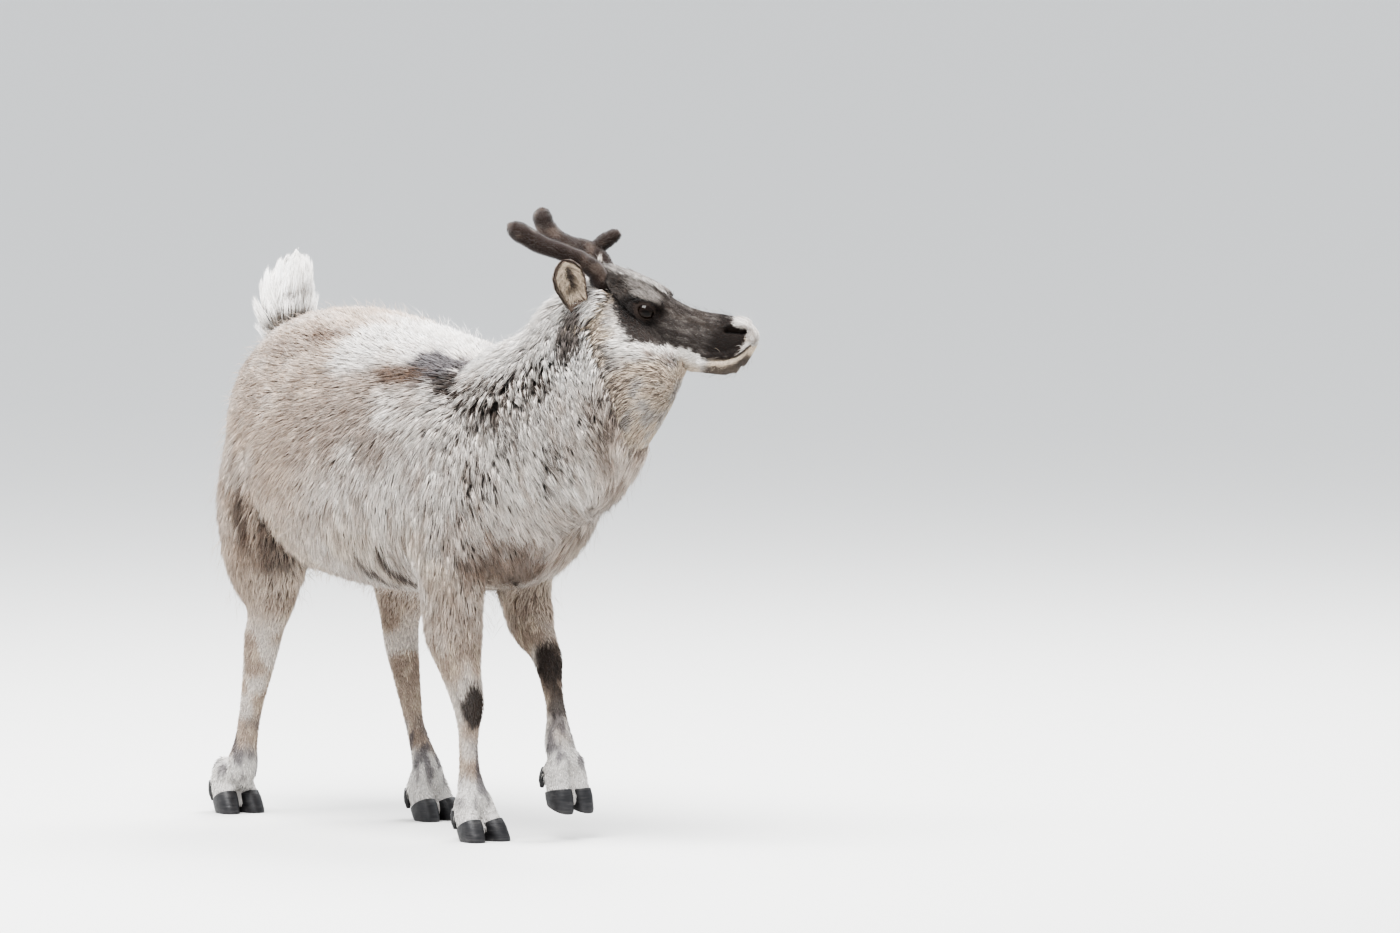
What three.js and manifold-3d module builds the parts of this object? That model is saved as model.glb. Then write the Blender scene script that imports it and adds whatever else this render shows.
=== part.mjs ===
// A young Svalbard reindeer in velvet, walking, with its left forefoot lifted and its head turned to its
// left. Millimetres. +X runs along the trunk towards the chest, +Y to the animal's left, +Z up, and the
// floor is Z = 0.
import * as THREE from "three";
import { mergeVertices } from "three/addons/utils/BufferGeometryUtils.js";
import Module from "manifold-3d";

const wasm = await Module();
wasm.setup();

// Driving sizes
const GAP = 0.3; // between pieces that meet face to face
const CLEARANCE = 12; // how far the locks of one piece keep from the next
const CUT_BLOCK = 3000; // side of the block that stands for the far side of a cut
const HEAD_YAW = 46; // degrees, turned from +X towards +Y
const HEAD_PITCH = 19; // degrees, nose below the poll
const HEAD_ROLL = 8; // degrees, left side raised
const POLL = [815, 52, 848]; // crown of the head, between the antlers
const EYE_RADIUS = 15;
const EYE = [78, 39, -2]; // head frame, left eye; the right one is mirrored
const EYE_FACING = [0.22, 1, 0.08];
const ANTLER_RADIUS = 15;
const SIDES = { left: 1, right: -1 };

// Depth from the tips of the coat to the core that its locks are rooted in.
const TRUNK_COAT = 18;
const NECK_COAT = 24;
const LIMB_COAT = 12;
const TAIL_COAT = 16;

// The sizes of a lock of each kind: its length, half its greatest width and half its thickness,
// and how far its root is sunk below the core's surface.
const LOCKS = {
  trunk: { length: 156, half: 39, thick: 6.5, sink: 8 },
  neck: { length: 126, half: 30, thick: 6, sink: 10 },
  limb: { length: 116, half: 32, thick: 6, sink: 7 },
  tail: { length: 100, half: 18, thick: 4, sink: 6 },
};

// How far a lock's size, its place and its lie may be from the named ones.
const VARIED = { length: 0.16, half: 0.12, along: 0.06, around: 0.16, start: 0.008 };

// Where the locks on a shoulder or thigh start: shares of the limb's length, and degrees round it from its
// outer side towards its back. Every other row is turned back by LIMB_STAGGER.
const LIMB_ROWS = [0.06, 0.12, 0.18];
const LIMB_TURNS = [-40, 15, 70];
const LIMB_STAGGER = 26;

const LOOKS = {
  fur: { color: 0xcdc6bd, roughness: 0.95, metalness: 0 },
  face: { color: 0x4a413d, roughness: 0.95, metalness: 0 },
  leg: { color: 0xb5aaa0, roughness: 0.95, metalness: 0 },
  white: { color: 0xe6e2dc, roughness: 0.95, metalness: 0 },
  velvet: { color: 0x4a3c36, roughness: 0.9, metalness: 0 },
  horn: { color: 0x3a393b, roughness: 0.55, metalness: 0 },
  eye: { color: 0x0c0a0a, roughness: 0.08, metalness: 0 },
};

const UP = [0, 0, 1];
const FORWARD = [1, 0, 0];
const vec = (x, y, z) => new THREE.Vector3(x, y, z);
const point = (p) => (p.isVector3 ? p.clone() : vec(...p));
const radians = THREE.MathUtils.degToRad;

// A seeded draw from -1 to 1.
function seeded(seed) {
  let state = seed;
  return () => {
    state = (Math.imul(state, 1664525) + 1013904223) >>> 0;
    return state / 2 ** 31 - 1;
  };
}

// Solids

// The closed solid of a geometry, whatever its normals and uvs were.
function solid(geometry) {
  const bare = geometry.clone();
  bare.deleteAttribute("normal");
  bare.deleteAttribute("uv");
  const merged = mergeVertices(bare, 1e-4);
  return new wasm.Manifold(
    new wasm.Mesh({
      numProp: 3,
      vertProperties: merged.attributes.position.array,
      triVerts: new Uint32Array(merged.index.array),
    }),
  );
}

// Only the largest closed surface of a solid, so that no loose scrap or sealed hollow stays.
function largest(body) {
  return body.decompose().reduce((a, b) => (a.volume() > b.volume() ? a : b));
}

function geometryOf(body) {
  const mesh = body.getMesh();
  const geometry = new THREE.BufferGeometry();
  geometry.setAttribute("position", new THREE.BufferAttribute(mesh.vertProperties, 3));
  geometry.setIndex(new THREE.BufferAttribute(mesh.triVerts, 1));
  return geometry;
}

const moved = (body, matrix) => solid(geometryOf(body).applyMatrix4(matrix));
const joined = (bodies) => bodies.reduce((a, b) => a.add(b));

// Everything on the side of a plane that its normal points to, starting half a gap away from it.
function sideOf(through, normal) {
  const n = point(normal).normalize();
  const block = new THREE.BoxGeometry(CUT_BLOCK, CUT_BLOCK, CUT_BLOCK);
  block.applyQuaternion(new THREE.Quaternion().setFromUnitVectors(vec(0, 0, 1), n));
  block.translate(...point(through).addScaledVector(n, CUT_BLOCK / 2 + GAP / 2).toArray());
  return solid(block);
}

// The two sides of a cut, and the two pieces of a body that it parts: ahead of its normal, and behind it.
const aheadOf = ({ through, normal }) => sideOf(through, normal);
const behind = ({ through, normal }) => sideOf(through, point(normal).negate());
const parted = (body, cut) => [body.intersect(aheadOf(cut)), body.intersect(behind(cut))];

function ball(centre, radii, segments) {
  const sphere = new THREE.SphereGeometry(1, segments, Math.round(segments * 0.7));
  sphere.scale(...radii).translate(...point(centre).toArray());
  return solid(sphere);
}

// The closed solid over rings of points, each with as many, from a first point to a last one.
function skinned(rings, start, end) {
  const sides = rings[0].length;
  const last = (rings.length - 1) * sides;
  const [tail, tip] = [rings.length * sides, rings.length * sides + 1];
  const faces = [];
  for (let j = 0; j < sides; j++) {
    const k = (j + 1) % sides;
    faces.push(tail, k, j, tip, last + j, last + k);
    for (let low = 0; low < last; low += sides) {
      const [a, b, c, d] = [low + j, low + k, low + sides + k, low + sides + j];
      faces.push(a, b, c, a, c, d);
    }
  }
  const points = [...rings.flat(), start, end].flatMap((p) => p.toArray());
  const geometry = new THREE.BufferGeometry();
  geometry.setAttribute("position", new THREE.Float32BufferAttribute(points, 3));
  geometry.setIndex(faces);
  return solid(geometry);
}

// Lofts

// Catmull-Rom through one named size of the stations, at t from 0 to 1 along them.
function between(stations, name, t) {
  const last = stations.length - 1;
  const place = Math.min(Math.max(t, 0), 1) * last;
  const i = Math.min(Math.floor(place), last - 1);
  const u = place - i;
  const size = (k) => stations[Math.min(Math.max(k, 0), last)][name];
  const [a, b, c, d] = [size(i - 1), size(i), size(i + 1), size(i + 2)];
  return b + 0.5 * u * (c - a + u * (2 * a - 5 * b + 4 * c - d + u * (3 * (b - c) + d - a)));
}

// A body along stations: each has a centre, and its reach to the front, back and side of the body's own axis.
// toFront is the direction that "front" means, and squareness 2 is an ellipse.
function form(stations, toFront, squareness = 2) {
  const centres = stations.map((s) => point(s.at));
  const line = new THREE.CatmullRomCurve3(centres, false, "catmullrom", 0.5);
  const shaped = (x) => Math.sign(x) * Math.abs(x) ** (2 / squareness);

  // The point at t along the form and at an angle round it from the front, set in by `inset`.
  function at(t, angle, inset = 0) {
    const axis = line.getTangent(t);
    const front = point(toFront).addScaledVector(axis, -point(toFront).dot(axis)).normalize();
    const side = axis.clone().cross(front);
    const ahead = between(stations, Math.cos(angle) > 0 ? "front" : "back", t) - inset;
    const wide = between(stations, "side", t) - inset;
    return line
      .getPoint(t)
      .addScaledVector(front, ahead * shaped(Math.cos(angle)))
      .addScaledVector(side, wide * shaped(Math.sin(angle)));
  }

  // The closed solid, with a ring at each step along it.
  function body([steps, sides], inset = () => 0) {
    const rings = [];
    for (let i = 0; i <= steps; i++) {
      const t = i / steps;
      const round = (_, j) => at(t, (2 * Math.PI * j) / sides, inset(t));
      rings.push(Array.from({ length: sides }, round));
    }
    return skinned(rings, line.getPoint(0), line.getPoint(1));
  }

  // The mean reach of the form at t, from its axis to its outline.
  const girth = (t) => (at(t, 0).distanceTo(at(t, Math.PI)) + 2 * between(stations, "side", t)) / 4;

  // Whether a place is inside the form, or inside it once it is grown by `margin`.
  const samples = Array.from({ length: 41 }, (_, i) => i / 40);
  function holds(place, margin = 0) {
    const gapTo = (t) => line.getPoint(t).distanceTo(place);
    const t = samples.reduce((a, b) => (gapTo(a) < gapTo(b) ? a : b));
    const off = place.clone().sub(line.getPoint(t));
    const axis = line.getTangent(t);
    const front = point(toFront).addScaledVector(axis, -point(toFront).dot(axis)).normalize();
    const [rise, wide] = [off.dot(front), off.dot(axis.clone().cross(front))];
    const reach = between(stations, rise > 0 ? "front" : "back", t) + margin;
    const half = between(stations, "side", t) + margin;
    if (Math.abs(off.dot(axis)) > 0.1 * line.getLength()) return false;
    return Math.abs(rise / reach) ** squareness + Math.abs(wide / half) ** squareness < 1;
  }

  return { at, body, girth, holds, line, stations, squareness };
}

// Locks

// Where a lock's rings are along it, and its width and thickness there as shares of the greatest.
const LOCK_RINGS = [
  { share: 0.2, width: 0.85, thick: 0.95 },
  { share: 0.62, width: 0.9, thick: 0.8 },
];

// The place at a share of a lock's length from its root, moved out by `out`. The root is sunk below the
// form's core and the tip is at the form's outline, or beyond it by `lift`.
// along and around are the lie: the share of the length that runs along the form's axis and round it.
function lockPlace(shape, size, { t, angle, along, around, coat, lift = 0 }, share, out = 0) {
  const step = 1e-3;
  const speed = shape.line.getPoint(t + step).distanceTo(shape.line.getPoint(t - step)) / (2 * step);
  const reach = shape.at(t, angle).distanceTo(shape.line.getPoint(t));
  const inset = (coat + size.sink) * (1 - share) ** 1.6 - lift * share - out;
  const [ahead, round] = [share * size.length * along, share * size.length * around];
  return shape.at(THREE.MathUtils.clamp(t + ahead / speed, 0, 1), angle + round / reach, inset);
}

// A flat, tapered lock that lies along a form: flat below and ridged above. `grow` widens it so far that
// its faces stand that much further out.
function lockOn(shape, size, lie, grow = 0) {
  const place = (share, out) => lockPlace(shape, size, lie, share, out);
  const side = place(1).sub(place(0)).cross(place(0.5, 10).sub(place(0.5))).normalize();
  const rings = LOCK_RINGS.map(({ share, width, thick }) => {
    const centre = place(share);
    const flat = side.clone().cross(place(share + 0.2).sub(place(share - 0.2))).normalize();
    const half = size.half * width + 8 * grow;
    const rise = size.thick * thick + 3 * grow;
    return [
      [0, 1.2 * rise],
      [half, -0.8 * rise],
      [-half, -0.8 * rise],
    ].map(([x, z]) => centre.clone().addScaledVector(side, x).addScaledVector(flat, z));
  });
  const beyond = (end, from) => place(end).addScaledVector(place(end).sub(place(from)).normalize(), 8 * grow);
  return skinned(rings, beyond(0, LOCK_RINGS[0].share), beyond(1, LOCK_RINGS.at(-1).share));
}

// One lock of a kind, with its size varied by a draw.
const varied = (size, draw) => ({
  ...size,
  length: size.length * (1 + VARIED.length * draw()),
  half: size.half * (1 + VARIED.half * draw()),
});

// A station of a form that lies along x: the heights of its top, widest place and bottom, and its half-width.
const station = (x, top, widest, bottom, half) => ({
  at: [x, 0, widest],
  front: top - widest,
  back: widest - bottom,
  side: half,
});

// Trunk, from the buttocks to the point of the chest.
const TRUNK = form(
  [
    station(-6, 600, 560, 520, 26),
    station(8, 682, 565, 440, 84),
    station(60, 745, 568, 402, 130),
    station(125, 780, 565, 386, 162),
    station(205, 792, 558, 374, 186),
    station(300, 786, 550, 364, 200),
    station(395, 771, 545, 358, 204),
    station(490, 759, 545, 362, 196),
    station(575, 746, 550, 370, 180),
    station(650, 722, 560, 384, 160),
    station(710, 676, 560, 412, 134),
    station(752, 618, 555, 458, 94),
    station(770, 575, 550, 515, 34),
  ],
  UP,
  2.25,
);

// Neck: rises from the chest and turns to the left into the head. Front is the nape side.
const NECK = form(
  [
    { at: [560, 0, 590], front: 120, back: 140, side: 110 },
    { at: [650, 2, 615], front: 138, back: 172, side: 132 },
    { at: [722, 14, 648], front: 142, back: 178, side: 128 },
    { at: [776, 38, 697], front: 132, back: 162, side: 112 },
    { at: [811, 60, 742], front: 133, back: 152, side: 99 },
    { at: [838, 84, 782], front: 116, back: 136, side: 84 },
    { at: [855, 101, 806], front: 84, back: 106, side: 64 },
    { at: [866, 112, 818], front: 30, back: 30, side: 26 },
  ],
  [-0.45, -0.25, 0.86],
  2.1,
);

// Head, in its own frame: +x to the nose, +y left, +z up, origin at the poll.
const HEAD = form(
  [
    station(-52, -20, -38, -60, 18),
    station(-42, 6, -35, -84, 42),
    station(-15, 24, -34, -104, 55),
    station(20, 31, -32, -108, 58),
    station(52, 32, -26, -108, 57),
    station(80, 28, -22, -102, 52),
    station(106, 20, -24, -96, 44),
    station(136, 17, -26, -88, 37),
    station(166, 19, -24, -77, 34),
    station(196, 25, -20, -70, 35),
    station(220, 27, -17, -63, 34),
    station(238, 18, -18, -54, 28),
    station(247, -2, -20, -40, 13),
  ],
  UP,
  2.2,
);
const HEAD_PLACE = new THREE.Matrix4().compose(
  point(POLL),
  new THREE.Quaternion().setFromEuler(
    new THREE.Euler(radians(HEAD_ROLL), radians(HEAD_PITCH), radians(HEAD_YAW), "ZYX"),
  ),
  vec(1, 1, 1),
);
const inHead = (x, y, z) => vec(x, y, z).applyMatrix4(HEAD_PLACE);
const headDirection = (x, y, z) => vec(x, y, z).transformDirection(HEAD_PLACE);

// The half-width of the head at a place along it and a height, both in its own frame.
function headHalfWidth(x, z) {
  let [low, high] = [0, 1];
  while (high - low > 1e-4) {
    const middle = (low + high) / 2;
    if (HEAD.line.getPoint(middle).x < x) low = middle;
    else high = middle;
  }
  const rise = z - HEAD.line.getPoint(low).z;
  const reach = between(HEAD.stations, rise > 0 ? "front" : "back", low);
  const share = Math.min(Math.abs(rise / reach), 0.999);
  return between(HEAD.stations, "side", low) * (1 - share ** HEAD.squareness) ** (1 / HEAD.squareness);
}

// A cord of the given radii along places on the head's side, [x, z, radius, how far out].
function headCord(places, hand, steps, sides) {
  const stations = places.map(([x, z, radius, out = 0]) => ({
    at: [x, hand * (headHalfWidth(x, z) + out), z],
    front: radius,
    back: radius,
    side: radius,
  }));
  return form(stations, UP).body([steps, sides]);
}

// The mouth line, from its corner to the middle of the muzzle, and what stands proud along it.
const MOUTH = [
  [181, -40],
  [197, -34],
  [215, -28],
  [230, -20],
  [238, -12],
  [243, -4],
];
const lipAbove = MOUTH.map(([x, z], i) => [x - 1, z + 6, 4 + i * 0.3, -2]);
const lipBelow = MOUTH.map(([x, z], i) => [x - 4, z - 7, 4.5, -2]);
const mouthLine = MOUTH.map(([x, z]) => [x, z, 2.4, 0.4]);
const NOSTRIL = [
  [203, 8, 1.5, 0],
  [209, 10, 3.5, 0],
  [218, 12, 5, 0],
  [226, 14, 4.5, 0],
  [231, 14, 1.5, 0],
];
const NOSTRIL_RIM = [
  [199, 12, 2, -1],
  [206, 18, 4, -1],
  [216, 21, 4.5, -1],
  [227, 20, 4.5, -1],
  [235, 12, 3, -1],
];

function lids(hand) {
  const ring = new THREE.TorusGeometry(1, 0.25, 4, 11);
  ring.scale(17, 12.5, 14);
  const facing = vec(EYE_FACING[0], hand * EYE_FACING[1], EYE_FACING[2]).normalize();
  const across = vec(1, 0, -0.18).addScaledVector(facing, -facing.x + 0.18 * facing.z).normalize();
  const up = facing.clone().cross(across);
  ring.applyMatrix4(new THREE.Matrix4().makeBasis(across, up, facing));
  ring.translate(...vec(EYE[0], hand * EYE[1], EYE[2]).addScaledVector(facing, 9).toArray());
  return solid(ring);
}

function headSolid() {
  let head = HEAD.body(HEAD_MESH);
  for (const hand of [1, -1]) {
    head = joined([
      head,
      headCord(lipAbove, hand, 4, 4),
      headCord(lipBelow, hand, 4, 4),
      headCord(NOSTRIL_RIM, hand, 4, 5),
      lids(hand),
      ball([74, hand * 36, 13], [27, 13, 9], 7),
    ])
      .subtract(headCord(mouthLine, hand, 5, 4))
      .subtract(headCord(NOSTRIL, hand, 4, 5));
  }
  const front = [244, 0, -3];
  const mouthFront = form(
    [-1, -0.5, 0, 0.5, 1].map((share) => ({
      at: [front[0] + 2.5 - 3 * share * share, share * 17, front[2]],
      front: 2.4,
      back: 2.4,
      side: 3,
    })),
    UP,
  );
  return moved(head.subtract(mouthFront.body([4, 4])), HEAD_PLACE);
}

// Legs: stations run down the limb, front is towards the chest.
const legStation = (x, y, z, front, back, side) => ({ at: [x, y, z], front, back, side });
const LEGS = {
  hind_right: {
    upper: [
      legStation(170, -80, 660, 60, 60, 40),
      legStation(166, -100, 590, 108, 92, 68),
      legStation(152, -110, 500, 110, 103, 70),
      legStation(142, -110, 430, 98, 93, 58),
      legStation(140, -106, 380, 76, 80, 47),
      legStation(138, -102, 340, 50, 62, 33),
      legStation(126, -98, 305, 38, 42, 24),
      legStation(110, -94, 268, 32, 42, 23),
    ],
    lower: [
      legStation(94, -91, 228, 26, 34, 21),
      legStation(78, -88, 192, 22, 28, 18),
      legStation(62, -86, 150, 19, 23, 16.5),
      legStation(48, -84, 110, 20, 21, 19),
      legStation(36, -82, 80, 24, 24, 25),
      legStation(30, -81, 58, 22, 20, 24),
      legStation(30, -81, 40, 12, 10, 13),
    ],
    cut: 395,
    knee: 250,
    foot: { at: [2, -80, 0], yaw: -4, splay: 8 },
  },
  hind_left: {
    upper: [
      legStation(190, 80, 660, 60, 60, 40),
      legStation(190, 104, 590, 112, 110, 72),
      legStation(198, 110, 500, 112, 112, 70),
      legStation(206, 106, 430, 98, 96, 58),
      legStation(208, 102, 380, 76, 70, 46),
      legStation(205, 99, 340, 52, 50, 33),
      legStation(204, 98, 305, 38, 42, 26),
      legStation(210, 97, 268, 30, 38, 23),
    ],
    lower: [
      legStation(222, 95, 228, 25, 29, 21),
      legStation(234, 94, 188, 20, 22, 18),
      legStation(250, 92, 145, 17, 18, 15),
      legStation(270, 91, 108, 19, 20, 18),
      legStation(286, 90, 80, 23, 24, 24),
      legStation(294, 90, 58, 21, 20, 23),
      legStation(298, 90, 40, 12, 10, 13),
    ],
    cut: 395,
    knee: 248,
    foot: { at: [290, 90, 0], yaw: 4, splay: 9 },
  },
  front_right: {
    upper: [
      legStation(600, -70, 640, 50, 50, 40),
      legStation(610, -100, 570, 88, 92, 62),
      legStation(624, -108, 480, 82, 84, 58),
      legStation(634, -104, 410, 66, 68, 46),
      legStation(634, -100, 360, 54, 60, 40),
      legStation(632, -95, 312, 46, 54, 37),
      legStation(634, -87, 268, 38, 42, 30),
      legStation(638, -80, 232, 30, 33, 26),
    ],
    lower: [
      legStation(640, -76, 204, 27, 26, 23),
      legStation(636, -73, 172, 20, 20, 17),
      legStation(632, -70, 140, 17, 18, 15.5),
      legStation(630, -67, 108, 18, 19, 17),
      legStation(630, -64, 78, 22, 22, 23),
      legStation(636, -62, 56, 21, 20, 24),
      legStation(640, -61, 38, 12, 10, 13),
    ],
    cut: 395,
    knee: 218,
    foot: { at: [636, -61, 0], yaw: 4, splay: 12 },
  },
  front_left: {
    upper: [
      legStation(575, 70, 640, 50, 50, 40),
      legStation(562, 100, 570, 88, 92, 62),
      legStation(545, 106, 480, 78, 82, 56),
      legStation(536, 100, 410, 60, 62, 44),
      legStation(548, 94, 362, 46, 48, 34),
      legStation(576, 88, 318, 38, 40, 28),
      legStation(604, 85, 290, 30, 30, 22),
    ],
    lower: [
      legStation(622, 83, 266, 27, 24, 21),
      legStation(636, 80, 238, 20, 20, 17),
      legStation(648, 78, 206, 16, 17, 15),
      legStation(658, 76, 174, 19, 20, 18),
      legStation(664, 75, 146, 23, 24, 24),
      legStation(672, 75, 124, 22, 20, 24),
      legStation(678, 75, 108, 12, 10, 13),
    ],
    cut: 388,
    knee: 282,
    foot: { at: [690, 74, 52], yaw: 2, splay: 3, pitch: 16 },
  },
};

// Foot: two toes side by side, each a furred toe that ends in a hoof, and two dewclaws behind.
// In the foot's frame +x is the way it points and its sole is at z = 0 below the fetlock.
const TOE_APART = 17;
const TOE_MESH = [5, 7];
const DEWCLAW_MESH = [4, 5];
const CORONET = { through: [24, 0, 30], normal: [0.5, 0, -1] };
const DEWCLAW_CUT = { through: [-24, 0, 44], normal: [-0.45, 0, -1] };

function toeForm(hand) {
  const y = hand * TOE_APART;
  return form(
    [
      { at: [-8, hand * 8, 84], front: 10, back: 10, side: 8 },
      { at: [-6, hand * 12, 70], front: 20, back: 19, side: 15 },
      { at: [2, y, 50], front: 20, back: 24, side: 16 },
      { at: [12, y, 30], front: 21, back: 27, side: 17 },
      { at: [24, y, 12], front: 22, back: 27, side: 17 },
      { at: [38, y, -2], front: 16, back: 26, side: 14 },
      { at: [50, y, -14], front: 6, back: 10, side: 6 },
    ],
    [0.9, 0, 0.45],
    2.3,
  );
}

function dewclawForm(hand) {
  const y = hand * 17;
  return form(
    [
      { at: [-6, y * 0.8, 72], front: 7, back: 7, side: 6 },
      { at: [-16, y, 60], front: 11, back: 11, side: 9 },
      { at: [-24, y * 1.1, 44], front: 10, back: 9, side: 9 },
      { at: [-28, y * 1.15, 28], front: 8, back: 6, side: 7 },
      { at: [-28, y * 1.15, 16], front: 3, back: 2.5, side: 3 },
    ],
    FORWARD,
  );
}

// The furred part that joins the leg, and the hooves and dewclaws that are nodes of their own.
function footPieces({ at, yaw, splay, pitch = 0 }) {
  const fetlock = new THREE.Matrix4().makeTranslation(-6, 0, 72);
  const hang = fetlock
    .clone()
    .multiply(new THREE.Matrix4().makeRotationY(radians(pitch)))
    .multiply(fetlock.clone().invert());
  const place = new THREE.Matrix4()
    .makeTranslation(...at)
    .multiply(new THREE.Matrix4().makeRotationZ(radians(yaw)))
    .multiply(hang);
  const sole = sideOf([0, 0, -GAP / 2], UP);
  const fur = [];
  const clear = [];
  const horn = {};
  for (const [name, hand] of Object.entries(SIDES)) {
    const turn = new THREE.Matrix4().makeRotationZ(radians(splay * hand));
    const ownSide = sideOf([0, 0, 0], [0, hand, 0]);
    const cutFrom = (body, cut) => parted(body.intersect(sole), cut).map((piece) => moved(piece, turn));
    const [hoof, toe] = cutFrom(toeForm(hand).body(TOE_MESH), CORONET);
    const [nail, bulb] = cutFrom(dewclawForm(hand).body(DEWCLAW_MESH), DEWCLAW_CUT);
    const [aroundHoof] = cutFrom(toeForm(hand).body(TOE_MESH, grown), CORONET);
    const [aroundNail] = cutFrom(dewclawForm(hand).body(DEWCLAW_MESH, grown), DEWCLAW_CUT);
    fur.push(toe, bulb);
    clear.push(aroundHoof, aroundNail);
    horn[`hoof_${name}`] = moved(hoof.intersect(ownSide), place);
    horn[`dewclaw_${name}`] = moved(nail.intersect(ownSide), place);
  }
  return {
    fur: moved(joined(fur), place),
    clear: moved(joined(clear), place),
    horn,
  };
}

// Tail: held up, broad and flat.
const TAIL = form(
  [
    { at: [64, 0, 690], front: 20, back: 20, side: 24 },
    { at: [50, -2, 728], front: 33, back: 38, side: 48 },
    { at: [46, -4, 772], front: 33, back: 40, side: 53 },
    { at: [53, -3, 815], front: 28, back: 30, side: 43 },
    { at: [61, 0, 848], front: 18, back: 19, side: 26 },
    { at: [68, 0, 870], front: 5, back: 5, side: 6 },
  ],
  FORWARD,
);

// Ear: a leaf of skin, from its root to its tip, with a cup that opens outwards and forwards.
const EARS = {
  right: { root: [-25, -42, -28], tip: [-60, -92, 43], open: [0.55, -0.83, -0.1] },
  left: { root: [-25, 42, -28], tip: [-84, 84, 18], open: [0.45, 0.83, 0.35] },
};

function earSolid({ root, tip, open }) {
  const start = inHead(...root);
  const along = inHead(...tip).sub(start);
  const facing = headDirection(...open);
  facing.addScaledVector(along, -facing.dot(along) / along.lengthSq()).normalize();
  const leafStation = (t, thick, side) => ({
    at: start.clone().addScaledVector(along, t).addScaledVector(facing, -18 * t * (1 - t)),
    front: thick,
    back: thick,
    side,
  });
  const cupStation = (t, lift, depth, side) => ({
    at: start.clone().addScaledVector(along, t).addScaledVector(facing, lift - 18 * t * (1 - t)),
    front: depth,
    back: depth,
    side,
  });
  const leaf = form(
    [
      leafStation(0, 12, 13),
      leafStation(0.2, 14, 17),
      leafStation(0.45, 15, 22),
      leafStation(0.68, 13, 21),
      leafStation(0.86, 9, 14),
      leafStation(0.96, 4, 7),
      leafStation(1, 1.5, 2.5),
    ],
    facing,
  );
  const cup = form(
    [
      cupStation(0.24, 11, 3, 4),
      cupStation(0.34, 12, 12, 11),
      cupStation(0.5, 13, 17, 17),
      cupStation(0.68, 11, 14, 17),
      cupStation(0.84, 8, 9, 10),
      cupStation(0.94, 7, 4, 3),
    ],
    facing,
  );
  return leaf.body([8, 10]).subtract(cup.body([6, 8]));
}

// Antlers: blunt beams in velvet, swept back, with a brow tine on the left one only.
const knuckle = (x, y, z, radius) => ({
  at: inHead(x, y, z),
  front: radius,
  back: radius,
  side: radius,
});
const BEAMS = {
  right: form(
    [
      knuckle(6, -19, 2, ANTLER_RADIUS * 0.95),
      knuckle(-4, -24, 16, ANTLER_RADIUS * 1.08),
      knuckle(-16, -30, 29, ANTLER_RADIUS),
      knuckle(-40, -38, 38, ANTLER_RADIUS * 0.96),
      knuckle(-69, -47, 43, ANTLER_RADIUS * 0.93),
      knuckle(-101, -56, 45, ANTLER_RADIUS * 0.97),
      knuckle(-132, -62, 52, ANTLER_RADIUS * 1.06),
      knuckle(-149, -66, 57, ANTLER_RADIUS * 0.85),
      knuckle(-158, -67, 60, ANTLER_RADIUS * 0.35),
    ],
    headDirection(0, 0, 1),
  ),
  left: form(
    [
      knuckle(4, 17, 4, ANTLER_RADIUS * 0.95),
      knuckle(-7, 22, 18, ANTLER_RADIUS * 1.02),
      knuckle(-20, 30, 32, ANTLER_RADIUS * 0.95),
      knuckle(-42, 38, 38, ANTLER_RADIUS * 0.9),
      knuckle(-69, 46, 35, ANTLER_RADIUS * 0.84),
      knuckle(-95, 53, 34, ANTLER_RADIUS * 0.88),
      knuckle(-118, 59, 42, ANTLER_RADIUS),
      knuckle(-129, 62, 54, ANTLER_RADIUS),
      knuckle(-133, 64, 63, ANTLER_RADIUS * 0.75),
      knuckle(-135, 64, 68, ANTLER_RADIUS * 0.3),
    ],
    headDirection(0.4, 0, 1),
  ),
};
const BROW_TINE = form(
  [
    knuckle(-36, 40, 40, 10),
    knuckle(-28, 43, 53, 12.5),
    knuckle(-18, 47, 66, 11.5),
    knuckle(-11, 49, 72, 9.5),
    knuckle(-6, 50, 75, 4),
  ],
  headDirection(0, 1, 0),
);

// How fine each form's mesh is: rings along it, and sides round it.
const TRUNK_MESH = [15, 16];
const NECK_MESH = [9, 14];
const HEAD_MESH = [17, 16];
const LIMB_MESH = [18, 9];
const TAIL_MESH = [6, 8];
const BEAM_MESH = [12, 8];
const TINE_MESH = [5, 8];
const EYE_SEGMENTS = 11;

// An inset that makes a form larger all round by the gap.
const grown = () => -GAP;

// The cuts that part one node from the next: a point on each, and its normal.
const NECK_TORSO = { through: [690, 0, 650], normal: [0.92, 0.1, 0.36] };
const NECK_HEAD = { through: inHead(-48, 0, 20), normal: headDirection(0.5, 0, 0.866) };
const TAIL_CUT = { through: [48, 0, 722], normal: [-0.55, 0, 0.83] };
const EAR_CUT = { through: [-33, 48, -14], normal: [-0.5, 0.5, 0.7] };
const BEAM_CUT = { through: [-11, 26, 24], normal: [-0.62, 0.35, 0.72] };
const TINE_CUT = { through: [-31, 42, 53], normal: [0.62, 0.2, 0.75] };

// How far a place is ahead of a cut.
const ahead = ({ through, normal }, place) =>
  place.clone().sub(point(through)).dot(point(normal).normalize());

// A cut given in the head's frame for the left side, made on either side.
function headCut(body, { through, normal }, hand) {
  const mirrored = ([x, y, z]) => [x, hand * y, z];
  return parted(body, {
    through: inHead(...mirrored(through)),
    normal: headDirection(...mirrored(normal)),
  });
}

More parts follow.
